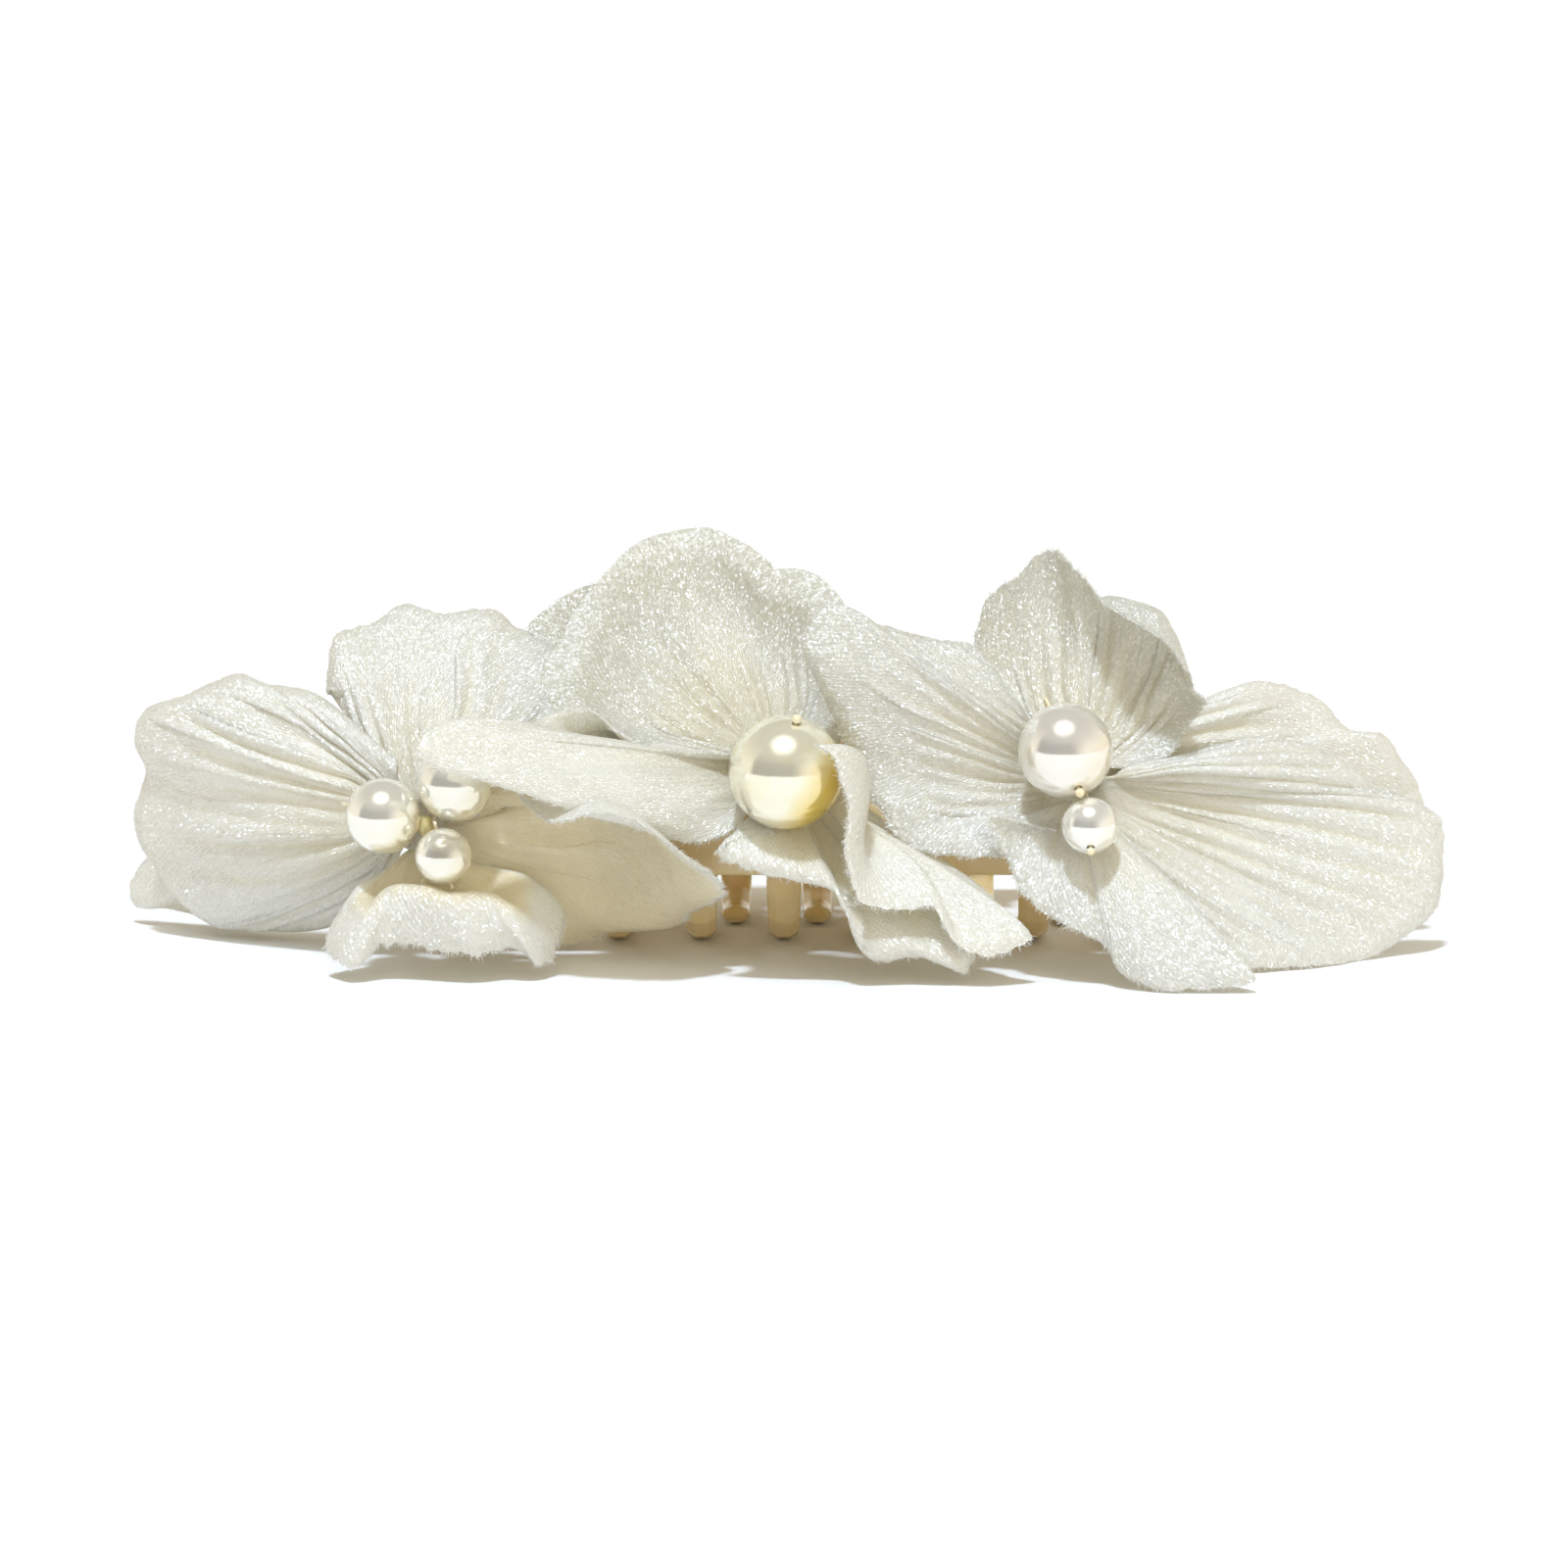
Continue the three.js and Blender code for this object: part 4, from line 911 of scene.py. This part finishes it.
for side_number, (side, flower) in enumerate(FLOWERS.items()):
    lean = math.radians(flower["tilt"])
    facing = np.array([0, -math.cos(lean), math.sin(lean)])
    centre = np.array(flower["centre"], float)
    edges, sheets = [], []
    for number, (name, petal) in enumerate(flower["petals"].items()):
        look = {**USUAL_LOOK, **LOOKS[f"{side}_{name}"]}
        grid, normals, furrow, flat = pressed_petal(petal, facing, look, 100 * side_number + 10 * number)
        piece = cloth(f"{side}_{name}_petal", grid + centre, normals, furrow, look)
        place(piece, "front", VELVETS[side], "velvet", f"{side}_petal_{name}")
        edges.append((grid + centre, normals, look["fray"]))
        sheets.append((piece, flat))
    fringe = fray(f"{side}_frayed_edges", edges, np.random.RandomState(7 + side_number))
    place(fringe, "front", FIBRES, "velvet")

# ---- Pearls and their lines ----
# each pearl's own tone, then the golden tone of its painted warm reflection
PEARL_TONES = {
    "center_pearl": ((0.95, 0.92, 0.76), (0.85, 0.64, 0.14)),
    "right_pearl_large": ((0.93, 0.90, 0.84), (0.90, 0.84, 0.70)),
    "right_pearl_small": ((0.94, 0.93, 0.88), (0.92, 0.88, 0.78)),
}
USUAL_TONES = ((0.93, 0.91, 0.83), (0.90, 0.84, 0.66))
USUAL_LINE_END = 0.24  # the melted ends' radius
LINE_ENDS = {"center_pearl": 0.5, "right_pearl_large": 0.5, "right_pearl_small": 0.42}
LINE = thread_look()


def bead(name, radius):
    """A drilled bead: the ball's surface, rounded into its bore, and the bore's wall."""
    turn = math.acos((BEAD_BORE + BEAD_FILLET) / radius)
    ball = [(radius * math.cos(a), radius * math.sin(a)) for a in np.linspace(-turn, turn, 61)]
    height = math.sqrt(radius**2 - BEAD_BORE**2)
    wall = height - 1.3 * BEAD_FILLET
    bore = [(BEAD_BORE, z) for z in np.linspace(wall, -wall, 9)]
    shoulder = (BEAD_BORE + 0.25 * BEAD_FILLET, height - 0.4 * BEAD_FILLET)
    profile = ball + [shoulder] + bore + [(shoulder[0], -shoulder[1])]
    return lathe(name, profile + profile[:1], 96)


for name, row in PEARLS.items():
    radius = row["diameter"] / 2
    axis = unit(row["out"])
    centre = np.array(row["at"], float)
    piece = aim(bead(f"{name}_bead", radius), centre, axis)
    base, painted_gold_reflection = PEARL_TONES.get(name, USUAL_TONES)
    place(piece, "front", pearl_look(f"{name}_lacquer", base, painted_gold_reflection, centre, radius), "pearl", name)
    # from the glue through the bead to a melted end just outside it
    run = [*row["path"], *(centre + axis * d for d in (-radius - 0.6, -radius, 0, radius, radius + 0.55))]
    line = catmull_rom(run, np.linspace(0, 1, 90), True)
    wide = LINE_ENDS.get(name, USUAL_LINE_END)
    up = np.linspace(0, 1, 17)
    knob = [centre + axis * (radius + 2 * wide * d) for d in up]
    swell = wide * np.sqrt(np.clip(1 - ((up - 0.5) / 0.52) ** 2, 0.02, 1))
    stem = rod(name.replace("pearl", "line"), line, LINE_RADIUS, 12)
    end = rod(name.replace("pearl", "line_end"), knob, swell, 16)
    place(stem, "front", LINE, "wire", name.replace("pearl", "stem"))
    place(end, "front", LINE, "wire")

# ---- Claw, pin and spring ----
IVORY = ivory_look()
STEEL = steel_look()
for side in ("front", "rear"):
    place(moulded(f"{side}_jaw_moulding", f"{side}_jaw", 0.24, 5), side, IVORY, "claw_plastic", f"{side}_jaw")

KNUCKLE_LENGTH = 3.2
KNUCKLE_INNER = 5.4  # where the inner pair of knuckles starts
KNUCKLE_GAP = 0.4
SHANK = KNUCKLE_INNER + 2 * KNUCKLE_LENGTH + 2 * KNUCKLE_GAP
PIN_RADIUS = 0.8
HEAD_RADIUS = 1.6
HEAD_THICKNESS = 0.7
half_pin = [(PIN_RADIUS, 0.0), (PIN_RADIUS, SHANK), (HEAD_RADIUS - 0.1, SHANK), (HEAD_RADIUS, SHANK + 0.1)]
half_pin += [(HEAD_RADIUS, SHANK + 0.35), (1.45, SHANK + 0.58), (1.0, SHANK + 0.69)]
half_pin += [(0.5, SHANK + HEAD_THICKNESS), (0.02, SHANK + HEAD_THICKNESS)]
pin_profile = [(r, -z) for r, z in reversed(half_pin)] + half_pin[1:]
pin = aim(lathe("hinge_pin_rivet", pin_profile, 48), (CLAW_X, HINGE_Y, HINGE_Z), (1, 0, 0))
place(pin, "front", STEEL, "steel", "hinge_pin")

COIL_RADIUS = 1.6
COIL_HALF_LENGTH = 3.6
COIL_TURNS = 6
LEG_LEAN = math.radians(33.3)
LEG_END = (5.7, 28.15)  # how far a leg's tip is out from the pin, and its height
LEG_SHARE = 0.12  # of the wire's points
WIRE_RADIUS = 0.4


def spring_line():
    """Up the front lever, six turns round the pin and up the rear lever."""
    start = math.pi / 2 - LEG_LEAN
    sweep = 2 * LEG_LEAN - 2 * math.pi * COIL_TURNS
    points = []
    for t in np.linspace(0, 1, 420):
        along = min(max((t - LEG_SHARE) / (1 - 2 * LEG_SHARE), 0), 1)
        angle = start + sweep * along
        x = COIL_HALF_LENGTH * (1 - 2 * along)
        p = np.array([x, COIL_RADIUS * math.cos(angle), HINGE_Z + COIL_RADIUS * math.sin(angle)])
        out, high = LEG_END
        if t < LEG_SHARE:
            p = p + (np.array([x, -out, high]) - p) * (1 - t / LEG_SHARE)
        if t > 1 - LEG_SHARE:
            p = p + (np.array([x, out, high]) - p) * (1 - (1 - t) / LEG_SHARE)
        points.append(p + (CLAW_X, HINGE_Y, 0))
    return points


spring = rod("spring_wire", spring_line(), WIRE_RADIUS, 14)
spring.data.materials.append(STEEL)
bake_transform(spring)
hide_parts("torsion_spring")

# ---- Backings and glue ----
FELT = felt_look()
GLUE = glue_look()
for side in FLOWERS:
    disc = moulded(f"{side}_felt_backing", f"{side}_felt_disc", 0.16, 3)
    place(disc, "front", FELT, "felt", f"{side}_felt_disc")
    pad = moulded(f"{side}_glue_bed", f"{side}_glue_pad", 0.2, 8)
    place(pad, "front", GLUE, "hot_glue", f"{side}_glue_pad")


def blob(name, centre, size, seed):
    """A small uneven drop."""
    turns, rows = 20, 14
    a = np.linspace(0.04, math.pi - 0.04, rows)[:, None]
    b = 2 * np.pi * np.arange(turns)[None, :] / turns
    way = np.stack([np.sin(a) * np.cos(b), np.sin(a) * np.sin(b), np.cos(a) + 0 * b], -1)
    swell = 1 + 0.18 * noise(way[..., 0] * 1.5 + 5, way[..., 1] * 1.5 + way[..., 2], seed)
    points = np.array(centre) + way * swell[..., None] * np.array(size)
    return mesh_object(name, points.reshape(-1, 3), tube_faces(rows, turns))


place(blob("left_glue_drop", (-37.6, -15.9, 16.2), (0.9, 0.9, 1.2), 3), "front", GLUE, "hot_glue")

# ---- Floor, light and camera ----
FLOOR_REACH = 6000
FLOOR_Z = -0.03  # just under the feet
corners = [(x * FLOOR_REACH, y * FLOOR_REACH, FLOOR_Z) for x, y in ((-1, -1), (1, -1), (1, 1), (-1, 1))]
floor = mesh_object("floor", corners, [(0, 1, 2, 3)])
floor.data.materials.append(floor_look())

KEY = (-0.08, -0.42, 1.0)  # towards the lamp
WALLS = (0.92, 0.84, 0.68)
CEILING = (0.37, 0.33, 0.25)
DIM_PATCH = (0.12, 0.098, 0.068)
KEY_GLOW = (1.5, 1.46, 1.42)


def daylight():
    """A plain warm studio: pale walls, a darker ceiling, a dim patch behind the camera and a glow about the key."""
    world = bpy.data.worlds.new("studio")
    bpy.context.scene.world = world
    sky = Nodes(world)
    direction = sky.node("ShaderNodeTexCoord").outputs["Generated"]
    x, y, z = sky.split(direction)
    low = sky.ramp(z, 0.3, 0.85, 1, 0, "SMOOTHSTEP")
    behind = sky.math("MULTIPLY", sky.ramp(y, -0.38, -0.15, 1, 0, "SMOOTHSTEP"), low)
    dim = sky.math("MULTIPLY", behind, sky.ramp(x, 0.15, 0.85, 1, 0, "SMOOTHSTEP"))
    room = sky.mix(sky.ramp(z, 0.1, 0.85, 0, 1, "SMOOTHSTEP"), WALLS, CEILING)
    room = sky.mix(dim, room, DIM_PATCH)
    to_key = sky.vector_math("DOT_PRODUCT", direction, Vector(KEY).normalized())
    room = sky.mix(sky.ramp(to_key, 0.88, 1, 0, 1, "SMOOTHSTEP"), room, KEY_GLOW)
    sky.put(sky.tree.nodes["Background"].inputs["Color"], room)


daylight()


def sun(name, energy, spread, colour, towards):
    """A distant soft lamp; towards points from the object to it."""
    lamp = bpy.data.lights.new(name, "SUN")
    lamp.energy = energy
    lamp.angle = math.radians(spread)
    lamp.color = colour
    holder = bpy.data.objects.new(name, lamp)
    bpy.context.scene.collection.objects.link(holder)
    holder.rotation_euler = Vector(towards).to_track_quat("Z", "Y").to_euler()
    return holder


sun("key", 2.35, 5, (0.73, 0.84, 1.0), KEY)
fill = sun("fill", 0.98, 60, (1.0, 0.95, 0.78), (0.25, -1.0, 0.3))
fill.visible_glossy = False

CAMERA_RISE = math.radians(10)
CAMERA_DISTANCE = 620.0
CAMERA_TARGET = Vector((0.0, -12.0, 20.0))
FRAME_WIDTH = 165.6  # mm across the picture at the target
SENSOR_WIDTH = 36
back = Vector((0, -math.cos(CAMERA_RISE), math.sin(CAMERA_RISE)))
camera = bpy.data.cameras.new("camera")
camera.lens = SENSOR_WIDTH * CAMERA_DISTANCE / FRAME_WIDTH
camera.sensor_width = SENSOR_WIDTH
camera.clip_start = 0.01
camera.clip_end = 30
view = bpy.data.objects.new("camera", camera)
bpy.context.scene.collection.objects.link(view)
view.location = (CAMERA_TARGET + back * CAMERA_DISTANCE) * MM
view.rotation_euler = back.to_track_quat("Z", "Y").to_euler()
bpy.context.scene.camera = view
bpy.context.scene.view_settings.view_transform = "Standard"
